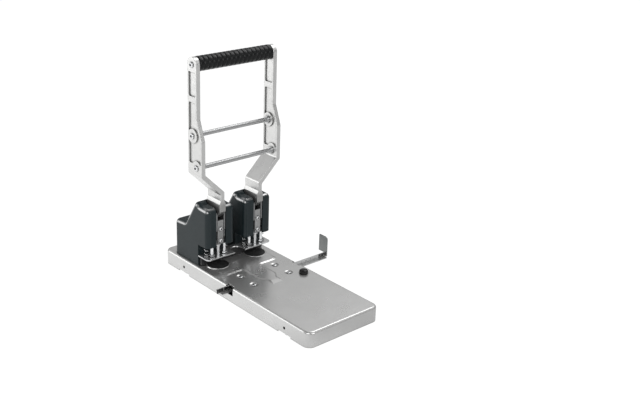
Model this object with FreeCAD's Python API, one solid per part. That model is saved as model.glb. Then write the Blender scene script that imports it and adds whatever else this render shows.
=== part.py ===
"""Heavy-duty two-hole lever punch, in millimetres.

X runs to the right along the front edge, Y to the rear and Z up. Everything is drawn from the
point on the desk midway below the two punches. The finished pieces are then moved together, so
that their origin is on the desk at the middle of the whole object's box.
Each function makes one sub-part, and main() writes them all. The sizes come first, then the
places that are worked out from them, from the desk upwards.
"""
import FreeCAD
import Part

import math
import os

Vector = FreeCAD.Vector

# ---------------------------------------------------------------- general
HOLE_PITCH = 80.0               # distance between the two punched holes
BODY_GAP = 0.3                  # air between pieces that move past each other
RUNNING_GAP = 0.05              # radial play of a shaft in its bush

# ---------------------------------------------------------------- base
BASE_LEDGE = 6.4                # deck beside the heads
BASE_BACK_LEDGE = 23.7          # deck behind the heads
BASE_FRONT = 274.0              # from the hole line to the front wall
BASE_TOP = 27.0                 # height of the deck
RIM_HEIGHT = 0.8                # air under the shell's lower rim
SHELL_SHEET = 1.8
CORNER_RADIUS = 13.0
DECK_EDGE_RADIUS = 4.0
PLATEAU_RISE = 1.2              # raised panel that the paper lies on
PLATEAU_SLOPE = 3.5             # width of its sloping edge
PLATEAU_SIDE = 18.0             # from the middle of a disc to the panel's side
PLATEAU_FRONT = 43.5
TONGUE_HALF_WIDTH = 19.0        # middle tongue of the raised panel
TONGUE_SHOULDER = 85.0
TONGUE_TIP_HALF_WIDTH = 11.0
TONGUE_TIP_SHOULDER = 97.0
TONGUE_FRONT = 114.0
TONGUE_RAMP = 10.0
WALL_HOLE_DIAMETER = 3.8
WALL_HOLE_HEIGHT = 13.0

FOOT_DIAMETER = 26.0
FOOT_SIDE_INSET = 16.5          # from the side wall to the middle of a foot
FOOT_BACK_INSET = 60.0
FOOT_FRONT_INSET = 56.5
FOOT_THICKNESS = 3.0
FOOT_BEVEL = 0.6
FOOT_NOTCH_LENGTH = 30.0
FOOT_NOTCH_HEIGHT = 3.0
BOTTOM_SHEET = 2.0              # bottom cover
BOTTOM_SCREW_DIAMETER = 4.0
BOTTOM_SCREW_HEAD = 7.0
BOTTOM_SCREW_HEAD_HEIGHT = 1.6
BOTTOM_SCREW_INSET = 22.0
BOTTOM_SCREW_BACK_INSET = 15.5
BOTTOM_POST_DIAMETER = 9.0

# ---------------------------------------------------------------- cutting discs and anvil
DISC_DIAMETER = 36.5
DISC_THICKNESS = 5.0
DISC_PROUD = 1.0                # disc face above the deck
DISC_EDGE = 0.5
DISC_MARK_DIAMETER = 2.6
DISC_MARK_DEPTH = 0.5
SEAT_RIM_WIDTH = 2.4
SEAT_RIM_RISE = 0.6
ANVIL_THICKNESS = 6.0
ANVIL_MARGIN = 7.5              # plate in front of the disc seats
ANVIL_CORNER = 6.0

# ---------------------------------------------------------------- lever mechanism
LEVER_ANGLE = 60.0              # swing of the lever, in degrees
PUNCH_STROKE = 17.3
CRANK_RISE = 54.5               # crank pin above the ram's foot
CRANK_PIN_DIAMETER = 6.0
CRANK_PIN_INSET = 0.2           # ends of the pin inside the fork's outer faces
CRANK_SLOT_PLAY = 0.4           # room above and below the pin in its slot
FOOT_BOSS_HALF_WIDTH = 6.2      # thick foot of an arm, between the fork's cheeks
FORK_SIDE_PLAY = 0.4
FORK_CHEEK = 2.9
FORK_RISE = 5.5                 # fork above the crank pin
FORK_HALF_DEPTH = 7.5
PIVOT_SHAFT_DIAMETER = 8.0
PIVOT_SHAFT_OVERHANG = 2.6
PIVOT_BUSH_DIAMETER = 10.0
PIVOT_BUSH_FLANGE = 13.0
CLIP_THICKNESS = 1.0
CLIP_DIAMETER = 12.0

RAM_FRONT = 4.2
RAM_BACK = 8.5
RAM_BUFFER = 4.2                # crosshead above the stripper plate at full stroke
RAM_SHOULDER_DROP = 22.0        # block's shoulder below the crank pin
CROSSHEAD_THICKNESS = 9.0
CROSSHEAD_FRONT = 5.4
CROSSHEAD_CORNER = 4.0
CROSSHEAD_MARGIN = 1.0          # crosshead beyond the bores of its cups
LINK_BAR_HALF_WIDTH = 5.8
LINK_BAR_THICKNESS = 3.0
LINK_BAR_FOOT_RISE = 3.0        # foot of the bar above the ram's foot
LINK_BAR_DROP = 10.0            # top of the bar below the crank pin
LINK_BAR_CORNER = 1.0
RAM_BOLT_DROP = 15.5            # upper bolt below the bar's top
RAM_BOLT_RISE = 7.5             # lower bolt above the ram's foot
RAM_BOLT_DIAMETER = 4.0
RAM_BOLT_HEAD = 7.2
RAM_BOLT_HEAD_HEIGHT = 2.4
RAM_WASHER = 8.2
RAM_WASHER_THICKNESS = 0.8

POST_DIAMETER = 6.0
POST_SIDE_PLAY = 0.4            # from a post to the ram's block
POST_SPIGOT_DIAMETER = 4.0
POST_SPIGOT_LENGTH = 10.0
POST_BUSH_DIAMETER = 8.0
PUNCH_DIAMETER = 6.0
PUNCH_BORE = 4.6
PUNCH_TIP_GAP = 0.2             # punch above its disc at full stroke
PUNCH_COLLAR_DIAMETER = 9.0
PUNCH_COLLAR_HEIGHT = 3.0

SPRING_DIAMETER = 8.6
SPRING_WIRE = 1.3
SPRING_TURNS = 5
SPRING_STEPS = 12               # flats of the coil in each turn
SPRING_SIDESTEP = 7.0           # from a guide post to its spring, sideways
SPRING_Y = 6.0
SPRING_CUP_WALL = 1.3

# ---------------------------------------------------------------- throat
THROAT_HEIGHT = 16.0            # from the discs to the stripper plate
PLATE_THICKNESS = 2.0
PLATE_FRONT = 10.0
PLATE_CORNER = 6.0
PLATE_NOTCH_RADIUS = 11.0
STOP_FRONT = 12.0               # paper edge to hole centre
STOP_END_INSET = 2.6            # ends of the back stop inside the plate's ends
STOP_SCREW_INSET = 6.0          # outer screws from the ends of the back stop
STOP_SCREW_SIDESTEP = 13.0      # inner screws from the plate's notch
STOP_SCREW_DIAMETER = 3.0
STOP_SCREW_HEAD = 5.6
THROAT_WALL = 18.5              # front face of the cover below its overhang

# ---------------------------------------------------------------- heads
COVER_WALL = 2.5
COVER_EDGE_RADIUS = 8.0
COVER_HOLLOW_RADIUS = 4.0
COVER_CORNER_RADIUS = 8.5
COVER_SLOPE_RADIUS = 8.0
BROW_FOOT_RADIUS = 6.0
COVER_FRONT_PLAY = 0.9          # from the crosshead to the cover's front wall
COVER_REAR_RISE = 65.0          # low rear part above the deck
COVER_REAR_LENGTH = 30.5        # low rear part, to the foot of the slope
SLOPE_FOOT_RISE = 2.5           # foot of the slope above the rear edge
SLOPE_LENGTH = 31.7
TOWER_REAR_REACH = 10.0         # top of the slope behind the pivot
TOWER_REAR_RISE = 23.0          # top of the slope above the crank pin
BROW_LENGTH = 10.6              # from the top of the slope forward to the foot of the brow
BROW_FOOT_RISE = 14.6           # foot of the brow above the crank pin
TOWER_FRONT_RISE = 13.8         # front edge above the crank pin
OVERHANG_DROP = 1.5             # overhang below the ram's foot
COVER_SCREW_DIAMETER = 4.0
COVER_SCREW_HEAD = 7.6
COVER_SCREW_HEAD_HEIGHT = 2.2

FRAME_CHEEK = 6.0               # thickness of one cheek
FRAME_SIDE_PLAY = 1.0           # from the ram's block to a cheek
FRAME_ARM_RISE = 24.5           # underside of the cheek's arm above the ram's foot
FRAME_RISE = 3.0                # cheek above the crank pin
FRAME_COVER_PLAY = 1.0          # from the frame to the cover's inner faces
FRAME_COLUMN_SETBACK = 3.0      # column behind the cover's throat wall
FRAME_BACK_SETBACK = 13.8       # column ahead of the cover's rear wall
FRAME_WEB_DROP = 8.0            # rear web below the cover's low roof
FRAME_FLANGE = 4.0
FRAME_BOLT_FRONT_INSET = 8.0
FRAME_BOLT_BACK_INSET = 6.0
FRAME_BOLT_DIAMETER = 5.0
FRAME_BOLT_WIDTH = 8.0          # across the flats of its head and nut
FRAME_BOLT_HEAD_HEIGHT = 3.5
FRAME_NUT_HEIGHT = 4.0

# ---------------------------------------------------------------- lever
ARM_SPREAD = 42.7               # outer face of an arm beyond its punch
ARM_THICKNESS = 7.6
SLOT_PART_THICKNESS = 7.1       # arm where it enters the head
ARM_REAR_REACH = 7.7            # rear face behind the pivot
ARM_UPPER_DEPTH = 24.1
ARM_LOWER_DEPTH = 37.1
FOOT_BOSS_FRONT_RISE = 7.0      # front corner of the boss above the crank pin
FOOT_BOSS_RISE = 27.0           # top of the boss above the crank pin
FOOT_BOSS_RAMP = 6.0            # height over which the boss widens from the arm
FOOT_BOSS_CORNER = 4.0
BEND_FOOT_RISE = 38.5           # inward bend above the crank pin
BEND_LENGTH = 38.0              # height of the inward bend
BEND_RADIUS = 3.5
LOWER_ROD_RISE = 13.3           # lower rod above the bend
LOWER_ROD_SETBACK = 14.2        # lower rod behind the arm's front face
ROD_SPACING = 52.6
SHOULDER_DROP = 5.8             # shoulder's foot below the upper rod
SHOULDER_LENGTH = 34.1
SHOULDER_RADIUS = 4.0
GRIP_RISE = 118.2               # grip above the upper rod
NOSE_RADIUS = 6.2
HUB_RADIUS = 11.0
FLANGE_WIDTH = 2.8
POCKET_DEPTH = 2.4
POCKET_CORNER = 3.0
POCKET_RIB = 9.5                # width of the rib across the upper pockets
GRIP_DIAMETER = 25.0
GRIP_CORE_DIAMETER = 14.0
GRIP_RIBS = 17
GRIP_GROOVE_DEPTH = 1.3
GRIP_GROOVE_WIDTH = 3.0
GRIP_END_GAP = 0.4
ROD_DIAMETER = 8.0
ROD_COLLAR_DIAMETER = 12.0
ROD_COLLAR_LENGTH = 4.0
ROD_BOSS_RADIUS = 12.0
BAIL_BOLT_DIAMETER = 5.0
BAIL_BOLT_LENGTH = 14.0         # thread inside a rod or the grip's core
BAIL_BOLT_HEAD = 10.0
BAIL_BOLT_HEAD_HEIGHT = 3.4
BAIL_SOCKET_DEPTH = 15.0

# ---------------------------------------------------------------- paper guide
RAIL_FACE_Y = -71.0             # front face of the upright web
RAIL_SHEET = 1.5
RAIL_DEPTH = 9.7
RAIL_FLANGE = 6.0
RAIL_LEFT_REACH = 21.4          # beyond the base's side walls
RAIL_RIGHT_REACH = 74.7
RAIL_END_CHAMFER = 9.0
BLADE_DEPTH = 21.0
BLADE_ROOT = 3.9                # foot of the blade below the rail's top
BLADE_RISE = 25.0               # top of the blade above the deck
BLADE_CORNER = 5.0
OPENING_REAR_MARGIN = 1.7       # side openings behind the rail
OPENING_FRONT_MARGIN = 10.0
OPENING_DROP = 2.2              # below the rail
OPENING_DECK_INSET = 6.5        # how far each opening reaches in over the deck
CHANNEL_SHEET = 1.5
CHANNEL_END_INSET = 15.0
CHANNEL_FLANGE = 17.0
DIMPLE_DIAMETER = 15.0
DIMPLE_FLOOR_DIAMETER = 10.0
DIMPLE_DEPTH = 1.2
REAR_DIMPLE = (37.0, 11.5)      # from the middle, and behind the rail's face
FRONT_DIMPLE = (37.5, -25.0)
CHANNEL_SCREW_DIAMETER = 4.0
CHANNEL_SCREW_HEAD = 8.4
CHANNEL_SCREW_HEAD_HEIGHT = 1.9
CHANNEL_NUT_WIDTH = 7.0
CHANNEL_NUT_HEIGHT = 3.0

KNOB_SIDE_INSET = 19.3          # from the base's side wall
KNOB_SETBACK = 42.7             # in front of the rail's face
KNOB_DIAMETER = 15.0
KNOB_HEIGHT = 6.6
KNOB_DOME = 3.0
KNOB_SCREW_DIAMETER = 5.0
KNOB_SCREW_DROP = 3.2           # tip of the screw below the rail
CLAMP_NUT_WIDTH = 8.0
FINGER_WIDTH = 14.0
FINGER_SHEET = 1.5

# ---------------------------------------------------------------- heights, from the desk up
BOTTOM_COVER_LOW = FOOT_THICKNESS
BOTTOM_COVER_HIGH = BOTTOM_COVER_LOW + BOTTOM_SHEET
DECK_UNDERSIDE = BASE_TOP - SHELL_SHEET
ANVIL_UNDERSIDE = DECK_UNDERSIDE - ANVIL_THICKNESS
PLATEAU_TOP = BASE_TOP + PLATEAU_RISE
DISC_TOP = BASE_TOP + DISC_PROUD
PLATE_UNDERSIDE = DISC_TOP + THROAT_HEIGHT
PLATE_TOP = PLATE_UNDERSIDE + PLATE_THICKNESS
PUNCH_TIP_HEIGHT = DISC_TOP + PUNCH_TIP_GAP + PUNCH_STROKE
RAM_FOOT_HEIGHT = PLATE_TOP + RAM_BUFFER + PUNCH_STROKE
CROSSHEAD_TOP = RAM_FOOT_HEIGHT + CROSSHEAD_THICKNESS
CRANK_HEIGHT = RAM_FOOT_HEIGHT + CRANK_RISE
RAM_SHOULDER_HEIGHT = CRANK_HEIGHT - RAM_SHOULDER_DROP
PUNCH_TOP = (RAM_FOOT_HEIGHT + RAM_SHOULDER_HEIGHT) / 2
LINK_BAR_TOP = CRANK_HEIGHT - LINK_BAR_DROP
PIVOT_HEIGHT = CRANK_HEIGHT - PUNCH_STROKE / 2
FRAME_FOOT = BASE_TOP + FRAME_FLANGE
FRAME_ARM_HEIGHT = RAM_FOOT_HEIGHT + FRAME_ARM_RISE
FRAME_TOP = CRANK_HEIGHT + FRAME_RISE
SPIGOT_TOP = FRAME_ARM_HEIGHT + POST_SPIGOT_LENGTH
CUP_ROOF = FRAME_ARM_HEIGHT - BODY_GAP
SPRING_TOP = CUP_ROOF - SPRING_CUP_WALL
OVERHANG_HEIGHT = RAM_FOOT_HEIGHT - OVERHANG_DROP
TOWER_FRONT_HEIGHT = CRANK_HEIGHT + TOWER_FRONT_RISE
TOWER_REAR_HEIGHT = CRANK_HEIGHT + TOWER_REAR_RISE
BROW_FOOT_HEIGHT = CRANK_HEIGHT + BROW_FOOT_RISE
COVER_REAR_HEIGHT = BASE_TOP + COVER_REAR_RISE
SLOPE_FOOT_HEIGHT = COVER_REAR_HEIGHT + SLOPE_FOOT_RISE
COVER_SCREW_AT = (FRAME_FOOT + COVER_REAR_HEIGHT) / 2
FOOT_BOSS_FRONT_HEIGHT = CRANK_HEIGHT + FOOT_BOSS_FRONT_RISE
FOOT_BOSS_TOP = CRANK_HEIGHT + FOOT_BOSS_RISE
BEND_FOOT = CRANK_HEIGHT + BEND_FOOT_RISE
BEND_TOP = BEND_FOOT + BEND_LENGTH
LOWER_ROD_HEIGHT = BEND_TOP + LOWER_ROD_RISE
UPPER_ROD_HEIGHT = LOWER_ROD_HEIGHT + ROD_SPACING
SHOULDER_FOOT = UPPER_ROD_HEIGHT - SHOULDER_DROP
SHOULDER_TOP = SHOULDER_FOOT + SHOULDER_LENGTH
GRIP_HEIGHT = UPPER_ROD_HEIGHT + GRIP_RISE
RAIL_TOP = DECK_UNDERSIDE - BODY_GAP
RAIL_FOOT = RAIL_TOP - RAIL_DEPTH
BLADE_FOOT = RAIL_TOP - BLADE_ROOT
BLADE_TOP = BASE_TOP + BLADE_RISE
CHANNEL_FLOOR = RAIL_FOOT - BODY_GAP
FINGER_LOW = RAIL_FOOT + RAIL_SHEET + BODY_GAP
KNOB_LOW = BASE_TOP + BODY_GAP
KNOB_HIGH = KNOB_LOW + KNOB_HEIGHT

# ---------------------------------------------------------------- crank, from front to rear
HALF_SWING = math.radians(LEVER_ANGLE / 2)
CRANK_RADIUS = PUNCH_STROKE / 2 / math.sin(HALF_SWING)
CRANK_SWAY = CRANK_RADIUS * (1 - math.cos(HALF_SWING))
CRANK_Y = CRANK_SWAY / 2
PIVOT_Y = CRANK_Y + CRANK_RADIUS * math.cos(HALF_SWING)

# ---------------------------------------------------------------- one head, from its middle out
HEADS = {"left": -HOLE_PITCH / 2, "right": HOLE_PITCH / 2}
FORK_INNER = FOOT_BOSS_HALF_WIDTH + FORK_SIDE_PLAY
RAM_HALF_WIDTH = FORK_INNER + FORK_CHEEK
POST_OFFSET = RAM_HALF_WIDTH + POST_SIDE_PLAY + POST_DIAMETER / 2
FRAME_INNER = RAM_HALF_WIDTH + FRAME_SIDE_PLAY
FRAME_OUTER = FRAME_INNER + FRAME_CHEEK
SLOT_HALF_WIDTH = FRAME_INNER - BODY_GAP
SPRING_OFFSET = POST_OFFSET + SPRING_SIDESTEP
CUP_DIAMETER = SPRING_DIAMETER + 2 * BODY_GAP
CUP_OUTER_DIAMETER = CUP_DIAMETER + 2 * SPRING_CUP_WALL
CROSSHEAD_HALF_WIDTH = SPRING_OFFSET + CUP_DIAMETER / 2 + CROSSHEAD_MARGIN
CROSSHEAD_BACK = SPRING_Y + CUP_OUTER_DIAMETER / 2 + CROSSHEAD_MARGIN / 2
COVER_INNER_HALF_WIDTH = SPRING_OFFSET + CUP_OUTER_DIAMETER / 2 + BODY_GAP
COVER_HALF_WIDTH = COVER_INNER_HALF_WIDTH + COVER_WALL
FRAME_FLANGE_HALF_WIDTH = COVER_INNER_HALF_WIDTH - FRAME_COVER_PLAY
FRAME_BOLT_X = (FRAME_OUTER + FRAME_FLANGE_HALF_WIDTH) / 2

# ---------------------------------------------------------------- one head, from front to rear
COVER_FRONT = CROSSHEAD_FRONT + COVER_FRONT_PLAY + COVER_WALL
TOWER_REAR = PIVOT_Y + TOWER_REAR_REACH
SLOPE_FOOT = TOWER_REAR + SLOPE_LENGTH
COVER_REAR = SLOPE_FOOT + COVER_REAR_LENGTH
SLOT_BACK = PIVOT_Y + HUB_RADIUS + BODY_GAP
FRAME_FRONT = COVER_FRONT - COVER_WALL - FRAME_COVER_PLAY
FRAME_COLUMN_FRONT = THROAT_WALL + COVER_WALL + FRAME_COLUMN_SETBACK
FRAME_COLUMN_BACK = COVER_REAR - COVER_WALL - FRAME_BACK_SETBACK
FRAME_BOLT_ROWS = (FRAME_COLUMN_FRONT + FRAME_BOLT_FRONT_INSET, FRAME_COLUMN_BACK - FRAME_BOLT_BACK_INSET)
STOP_BACK = THROAT_WALL - BODY_GAP
STOP_SCREW_Y = (STOP_FRONT + STOP_BACK) / 2
ARM_REAR = PIVOT_Y + ARM_REAR_REACH
ARM_FRONT_UPPER = ARM_REAR - ARM_UPPER_DEPTH
ARM_FRONT_LOWER = ARM_REAR - ARM_LOWER_DEPTH
BAIL_AXIS_Y = (ARM_REAR + ARM_FRONT_UPPER) / 2
LOWER_ROD_Y = ARM_FRONT_LOWER + LOWER_ROD_SETBACK

# ---------------------------------------------------------------- the whole width
PLATE_HALF_WIDTH = HOLE_PITCH / 2 + COVER_HALF_WIDTH
STOP_HALF_WIDTH = PLATE_HALF_WIDTH - STOP_END_INSET
STOP_SCREW_OUTER = STOP_HALF_WIDTH - STOP_SCREW_INSET
STOP_SCREW_INNER = PLATE_NOTCH_RADIUS + STOP_SCREW_SIDESTEP
STOP_SCREW_PLACES = (-STOP_SCREW_OUTER, -STOP_SCREW_INNER, STOP_SCREW_INNER, STOP_SCREW_OUTER)
BASE_WIDTH = 2 * (PLATE_HALF_WIDTH + BASE_LEDGE)
BASE_REAR = COVER_REAR + BASE_BACK_LEDGE
FOOT_X = BASE_WIDTH / 2 - FOOT_SIDE_INSET
FOOT_PLACES = (BASE_REAR - FOOT_BACK_INSET, -BASE_FRONT + FOOT_FRONT_INSET)
SEAT_DIAMETER = DISC_DIAMETER + 2 * BODY_GAP
PLATEAU_HALF_WIDTH = HOLE_PITCH / 2 + PLATEAU_SIDE
PLATEAU_BACK = THROAT_WALL - PLATEAU_RISE
ANVIL_FRONT = SEAT_DIAMETER / 2 + ANVIL_MARGIN
ARM_OUTER = HOLE_PITCH / 2 + ARM_SPREAD
ARM_INNER = ARM_OUTER - ARM_THICKNESS

# ---------------------------------------------------------------- paper guide's places
RAIL_LEFT_END = BASE_WIDTH / 2 + RAIL_LEFT_REACH
RAIL_RIGHT_END = BASE_WIDTH / 2 + RAIL_RIGHT_REACH
RAIL_BACK_Y = RAIL_FACE_Y + RAIL_SHEET
RAIL_FLANGE_Y = RAIL_FACE_Y - RAIL_FLANGE
CHANNEL_HALF_LENGTH = BASE_WIDTH / 2 - CHANNEL_END_INSET
DIMPLE_PLACES = tuple((x, RAIL_FACE_Y + behind) for x, behind in (REAR_DIMPLE, FRONT_DIMPLE))
KNOB_X = BASE_WIDTH / 2 - KNOB_SIDE_INSET
KNOB_Y = RAIL_FACE_Y - KNOB_SETBACK

CLEAR = GRIP_HEIGHT + BASE_WIDTH        # well clear of the object, for cuts that run out of it
TO_ORIGIN = Vector((RAIL_LEFT_END - RAIL_RIGHT_END) / 2, (BASE_FRONT - BASE_REAR) / 2, 0)


# ---------------------------------------------------------------- helpers
def block(x0, x1, y0, y1, z0, z1):
    return Part.makeBox(x1 - x0, y1 - y0, z1 - z0, Vector(x0, y0, z0))


def rod_x(diameter, x0, x1, y, z):
    return Part.makeCylinder(diameter / 2, x1 - x0, Vector(x0, y, z), Vector(1, 0, 0))


def rod_y(diameter, x, y0, y1, z):
    return Part.makeCylinder(diameter / 2, y1 - y0, Vector(x, y0, z), Vector(0, 1, 0))


def rod_z(diameter, x, y, z0, z1):
    return Part.makeCylinder(diameter / 2, z1 - z0, Vector(x, y, z0))


def cone_z(low_diameter, high_diameter, x, y, z0, z1):
    return Part.makeCone(low_diameter / 2, high_diameter / 2, z1 - z0, Vector(x, y, z0))


def hexagon_z(width, x, y, z0, z1):
    """A hexagonal prism with the given width across its flats, two of which face X."""
    reach = width / math.sqrt(3)
    corners = []
    for turn in range(6):
        angle = math.radians(60 * turn + 30)
        corners.append((x + reach * math.cos(angle), y + reach * math.sin(angle)))
    return plan_prism(corners, z0, z1)


def rounded_corner(before, corner, after, radius):
    """Start, middle and end of the arc that rounds one corner of an outline."""
    to_before = (before - corner).normalize()
    to_after = (after - corner).normalize()
    half_angle = to_before.getAngle(to_after) / 2
    reach = radius / math.tan(half_angle)
    centre = corner + (to_before + to_after).normalize() * (radius / math.sin(half_angle))
    middle = centre + (corner - centre).normalize() * radius
    return corner + to_before * reach, middle, corner + to_after * reach


def outline_face(corners, place):
    """A flat face from corners (a, b) or (a, b, radius); place turns a and b into a point."""
    points = [place(corner[0], corner[1]) for corner in corners]
    radii = [corner[2] if len(corner) > 2 else 0 for corner in corners]
    edges = []
    stretches = []
    for index, radius in enumerate(radii):
        point = points[index]
        if radius == 0:
            stretches.append((point, None, point))
            continue
        after = points[(index + 1) % len(points)]
        stretches.append(rounded_corner(points[index - 1], point, after, radius))
    for index, (start, middle, end) in enumerate(stretches):
        last_end = stretches[index - 1][2]
        if last_end.distanceToPoint(start) > 1e-6:
            edges.append(Part.LineSegment(last_end, start).toShape())
        if middle is not None:
            edges.append(Part.Arc(start, middle, end).toShape())
    return Part.Face(Part.Wire(edges))


def plan_prism(corners, z0, z1):
    """An outline in X and Y, raised from z0 to z1."""
    face = outline_face(corners, lambda a, b: Vector(a, b, z0))
    return face.extrude(Vector(0, 0, z1 - z0))


def side_prism(corners, x0, x1):
    """An outline in Y and Z, run from x0 to x1."""
    face = outline_face(corners, lambda a, b: Vector(x0, a, b))
    return face.extrude(Vector(x1 - x0, 0, 0))


def front_prism(corners, y0, y1):
    """An outline in X and Z, run from y0 to y1."""
    face = outline_face(corners, lambda a, b: Vector(a, y0, b))
    return face.extrude(Vector(0, y1 - y0, 0))


def rectangle(x0, x1, y0, y1, radius):
    return [(x0, y0, radius), (x1, y0, radius), (x1, y1, radius), (x0, y1, radius)]


def mirrored(half):
    """Corners of the half at +a, followed by their mirror images at -a."""
    other = [(-corner[0],) + tuple(corner[1:]) for corner in reversed(half)]
    return half + other


def fuse(shapes):
    whole = shapes[0]
    for shape in shapes[1:]:
        whole = whole.fuse(shape)
    return whole.removeSplitter()


def cut(shape, tools):
    for tool in tools:
        shape = shape.cut(tool)
    return shape


def edges_at_height(shape, height):
    found = []
    for edge in shape.Edges:
        box = edge.BoundBox
        if abs(box.ZMin - height) < 1e-4 and abs(box.ZMax - height) < 1e-4:
            found.append(edge)
    return found


def both_sides(shape):
    """The shape and its mirror image across the middle plane."""
    return [shape, shape.mirror(Vector(0, 0, 0), Vector(1, 0, 0))]


def group(shapes):
    return Part.makeCompound(shapes)


def button_head(diameter, height, base, direction):
    """A low domed head, as a flat disc with two cones above it."""
    radius = diameter / 2
    levels = ((0.0, 1.0), (0.25, 1.0), (0.7, 0.85), (1.0, 0.5))
    stack = []
    for (low, low_share), (high, high_share) in zip(levels, levels[1:]):
        start = base + direction * (height * low)
        if low_share == high_share:
            stack.append(Part.makeCylinder(radius, height * (high - low), start, direction))
        else:
            stack.append(Part.makeCone(radius * low_share, radius * high_share, height * (high - low),
                                       start, direction))
    return fuse(stack)


# ---------------------------------------------------------------- base
def plateau_corners(inset):
    half = [
        (PLATEAU_HALF_WIDTH - inset, PLATEAU_BACK),
        (PLATEAU_HALF_WIDTH - inset, -PLATEAU_FRONT + inset, 8),
        (TONGUE_HALF_WIDTH - inset, -PLATEAU_FRONT + inset, 5),
        (TONGUE_HALF_WIDTH - inset, -TONGUE_SHOULDER, 8),
        (TONGUE_TIP_HALF_WIDTH - inset, -TONGUE_TIP_SHOULDER, 8),
        (TONGUE_TIP_HALF_WIDTH - inset, -TONGUE_FRONT + inset, 2),
    ]
    return mirrored(half)


def plateau():
    """The raised panel, with sloping edges and a longer ramp at the tip of its tongue."""
    sunk = SHELL_SHEET / 2
    slope_overrun = PLATEAU_SLOPE * sunk / PLATEAU_RISE
    foot = outline_face(plateau_corners(-slope_overrun), lambda a, b: Vector(a, b, BASE_TOP - sunk))
    top = outline_face(plateau_corners(PLATEAU_SLOPE), lambda a, b: Vector(a, b, PLATEAU_TOP))
    panel = Part.makeLoft([foot.OuterWire, top.OuterWire], True, True)
    ramp_foot = -TONGUE_FRONT
    ramp_head = -TONGUE_FRONT + TONGUE_RAMP
    above_ramp = side_prism([
        (ramp_foot, BASE_TOP),
        (ramp_head, PLATEAU_TOP),
        (ramp_head, PLATEAU_TOP + PLATEAU_RISE),
        (ramp_foot, PLATEAU_TOP + PLATEAU_RISE),
    ], -TONGUE_HALF_WIDTH, TONGUE_HALF_WIDTH)
    return panel.cut(above_ramp)


def dimples():
    """Pressed dimples in the deck: what they add below it and what they cut from above."""
    added = []
    removed = []
    for x, y in DIMPLE_PLACES:
        for side_x in (-x, x):
            bulge_low = DECK_UNDERSIDE - DIMPLE_DEPTH
            added.append(cone_z(DIMPLE_FLOOR_DIAMETER + SHELL_SHEET, DIMPLE_DIAMETER + SHELL_SHEET,
                                side_x, y, bulge_low, DECK_UNDERSIDE))
            removed.append(cone_z(DIMPLE_FLOOR_DIAMETER, DIMPLE_DIAMETER, side_x, y,
                                  BASE_TOP - DIMPLE_DEPTH, BASE_TOP))
            removed.append(rod_z(CHANNEL_SCREW_DIAMETER + BODY_GAP, side_x, y, 0, BASE_TOP))
    return added, removed


def base_shell():
    half_width = BASE_WIDTH / 2
    sheet = SHELL_SHEET
    shell = plan_prism(rectangle(-half_width, half_width, -BASE_FRONT, BASE_REAR, CORNER_RADIUS),
                       RIM_HEIGHT, BASE_TOP)
    shell = shell.makeFillet(DECK_EDGE_RADIUS, edges_at_height(shell, BASE_TOP))
    hollow = plan_prism(rectangle(-half_width + sheet, half_width - sheet, -BASE_FRONT + sheet,
                                  BASE_REAR - sheet, CORNER_RADIUS - sheet), 0, DECK_UNDERSIDE)
    hollow = hollow.makeFillet(DECK_EDGE_RADIUS - sheet, edges_at_height(hollow, DECK_UNDERSIDE))
    shell = shell.cut(hollow)
    dimple_bulges, dimple_cuts = dimples()
    rims = []
    holes = []
    for x in HEADS.values():
        rim = cone_z(SEAT_DIAMETER + 2 * SEAT_RIM_WIDTH, SEAT_DIAMETER + SEAT_RIM_WIDTH, x, 0,
                     BASE_TOP, PLATEAU_TOP + SEAT_RIM_RISE)
        rims.append(rim.common(block(-half_width, half_width, -BASE_FRONT, PLATEAU_BACK, 0, CLEAR)))
        holes.append(rod_z(SEAT_DIAMETER, x, 0, 0, CLEAR))
    shell = fuse([shell, plateau()] + rims + dimple_bulges)
    under_plateau = plan_prism(plateau_corners(PLATEAU_SLOPE), 0, DECK_UNDERSIDE + PLATEAU_RISE)
    under_plateau = under_plateau.common(block(-half_width, half_width, -TONGUE_TIP_SHOULDER, BASE_REAR,
                                               DECK_UNDERSIDE, BASE_TOP))
    holes.append(under_plateau)
    opening_x = half_width - OPENING_DECK_INSET
    opening = block(opening_x, half_width + 1, RAIL_FLANGE_Y - OPENING_FRONT_MARGIN,
                    RAIL_BACK_Y + OPENING_REAR_MARGIN, RAIL_FOOT - OPENING_DROP, CLEAR)
    notches = []
    wall_holes = []
    for y in FOOT_PLACES:
        notches.append(block(-half_width - 1, half_width + 1, y - FOOT_NOTCH_LENGTH / 2,
                             y + FOOT_NOTCH_LENGTH / 2, 0, RIM_HEIGHT + FOOT_NOTCH_HEIGHT))
    for y in FOOT_PLACES:
        wall_holes.append(rod_x(WALL_HOLE_DIAMETER, -half_width - 1, half_width + 1, y, WALL_HOLE_HEIGHT))
    knob_hole = rod_z(KNOB_SCREW_DIAMETER + 2 * BODY_GAP, KNOB_X, KNOB_Y, 0, CLEAR)
    shell = cut(shell, holes + dimple_cuts + both_sides(opening) + notches + wall_holes + [knob_hole])
    return cut(shell, deck_bolt_holes() + stop_screw_holes())


def deck_bolt_holes():
    holes = []
    for x in HEADS.values():
        for row in FRAME_BOLT_ROWS:
            for offset in (-FRAME_BOLT_X, FRAME_BOLT_X):
                holes.append(rod_z(FRAME_BOLT_DIAMETER + BODY_GAP, x + offset, row, 0, FRAME_FOOT + 1))
    return holes


def stop_screw_holes():
    return [rod_z(STOP_SCREW_DIAMETER + BODY_GAP, x, STOP_SCREW_Y, 0, CLEAR) for x in STOP_SCREW_PLACES]


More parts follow.
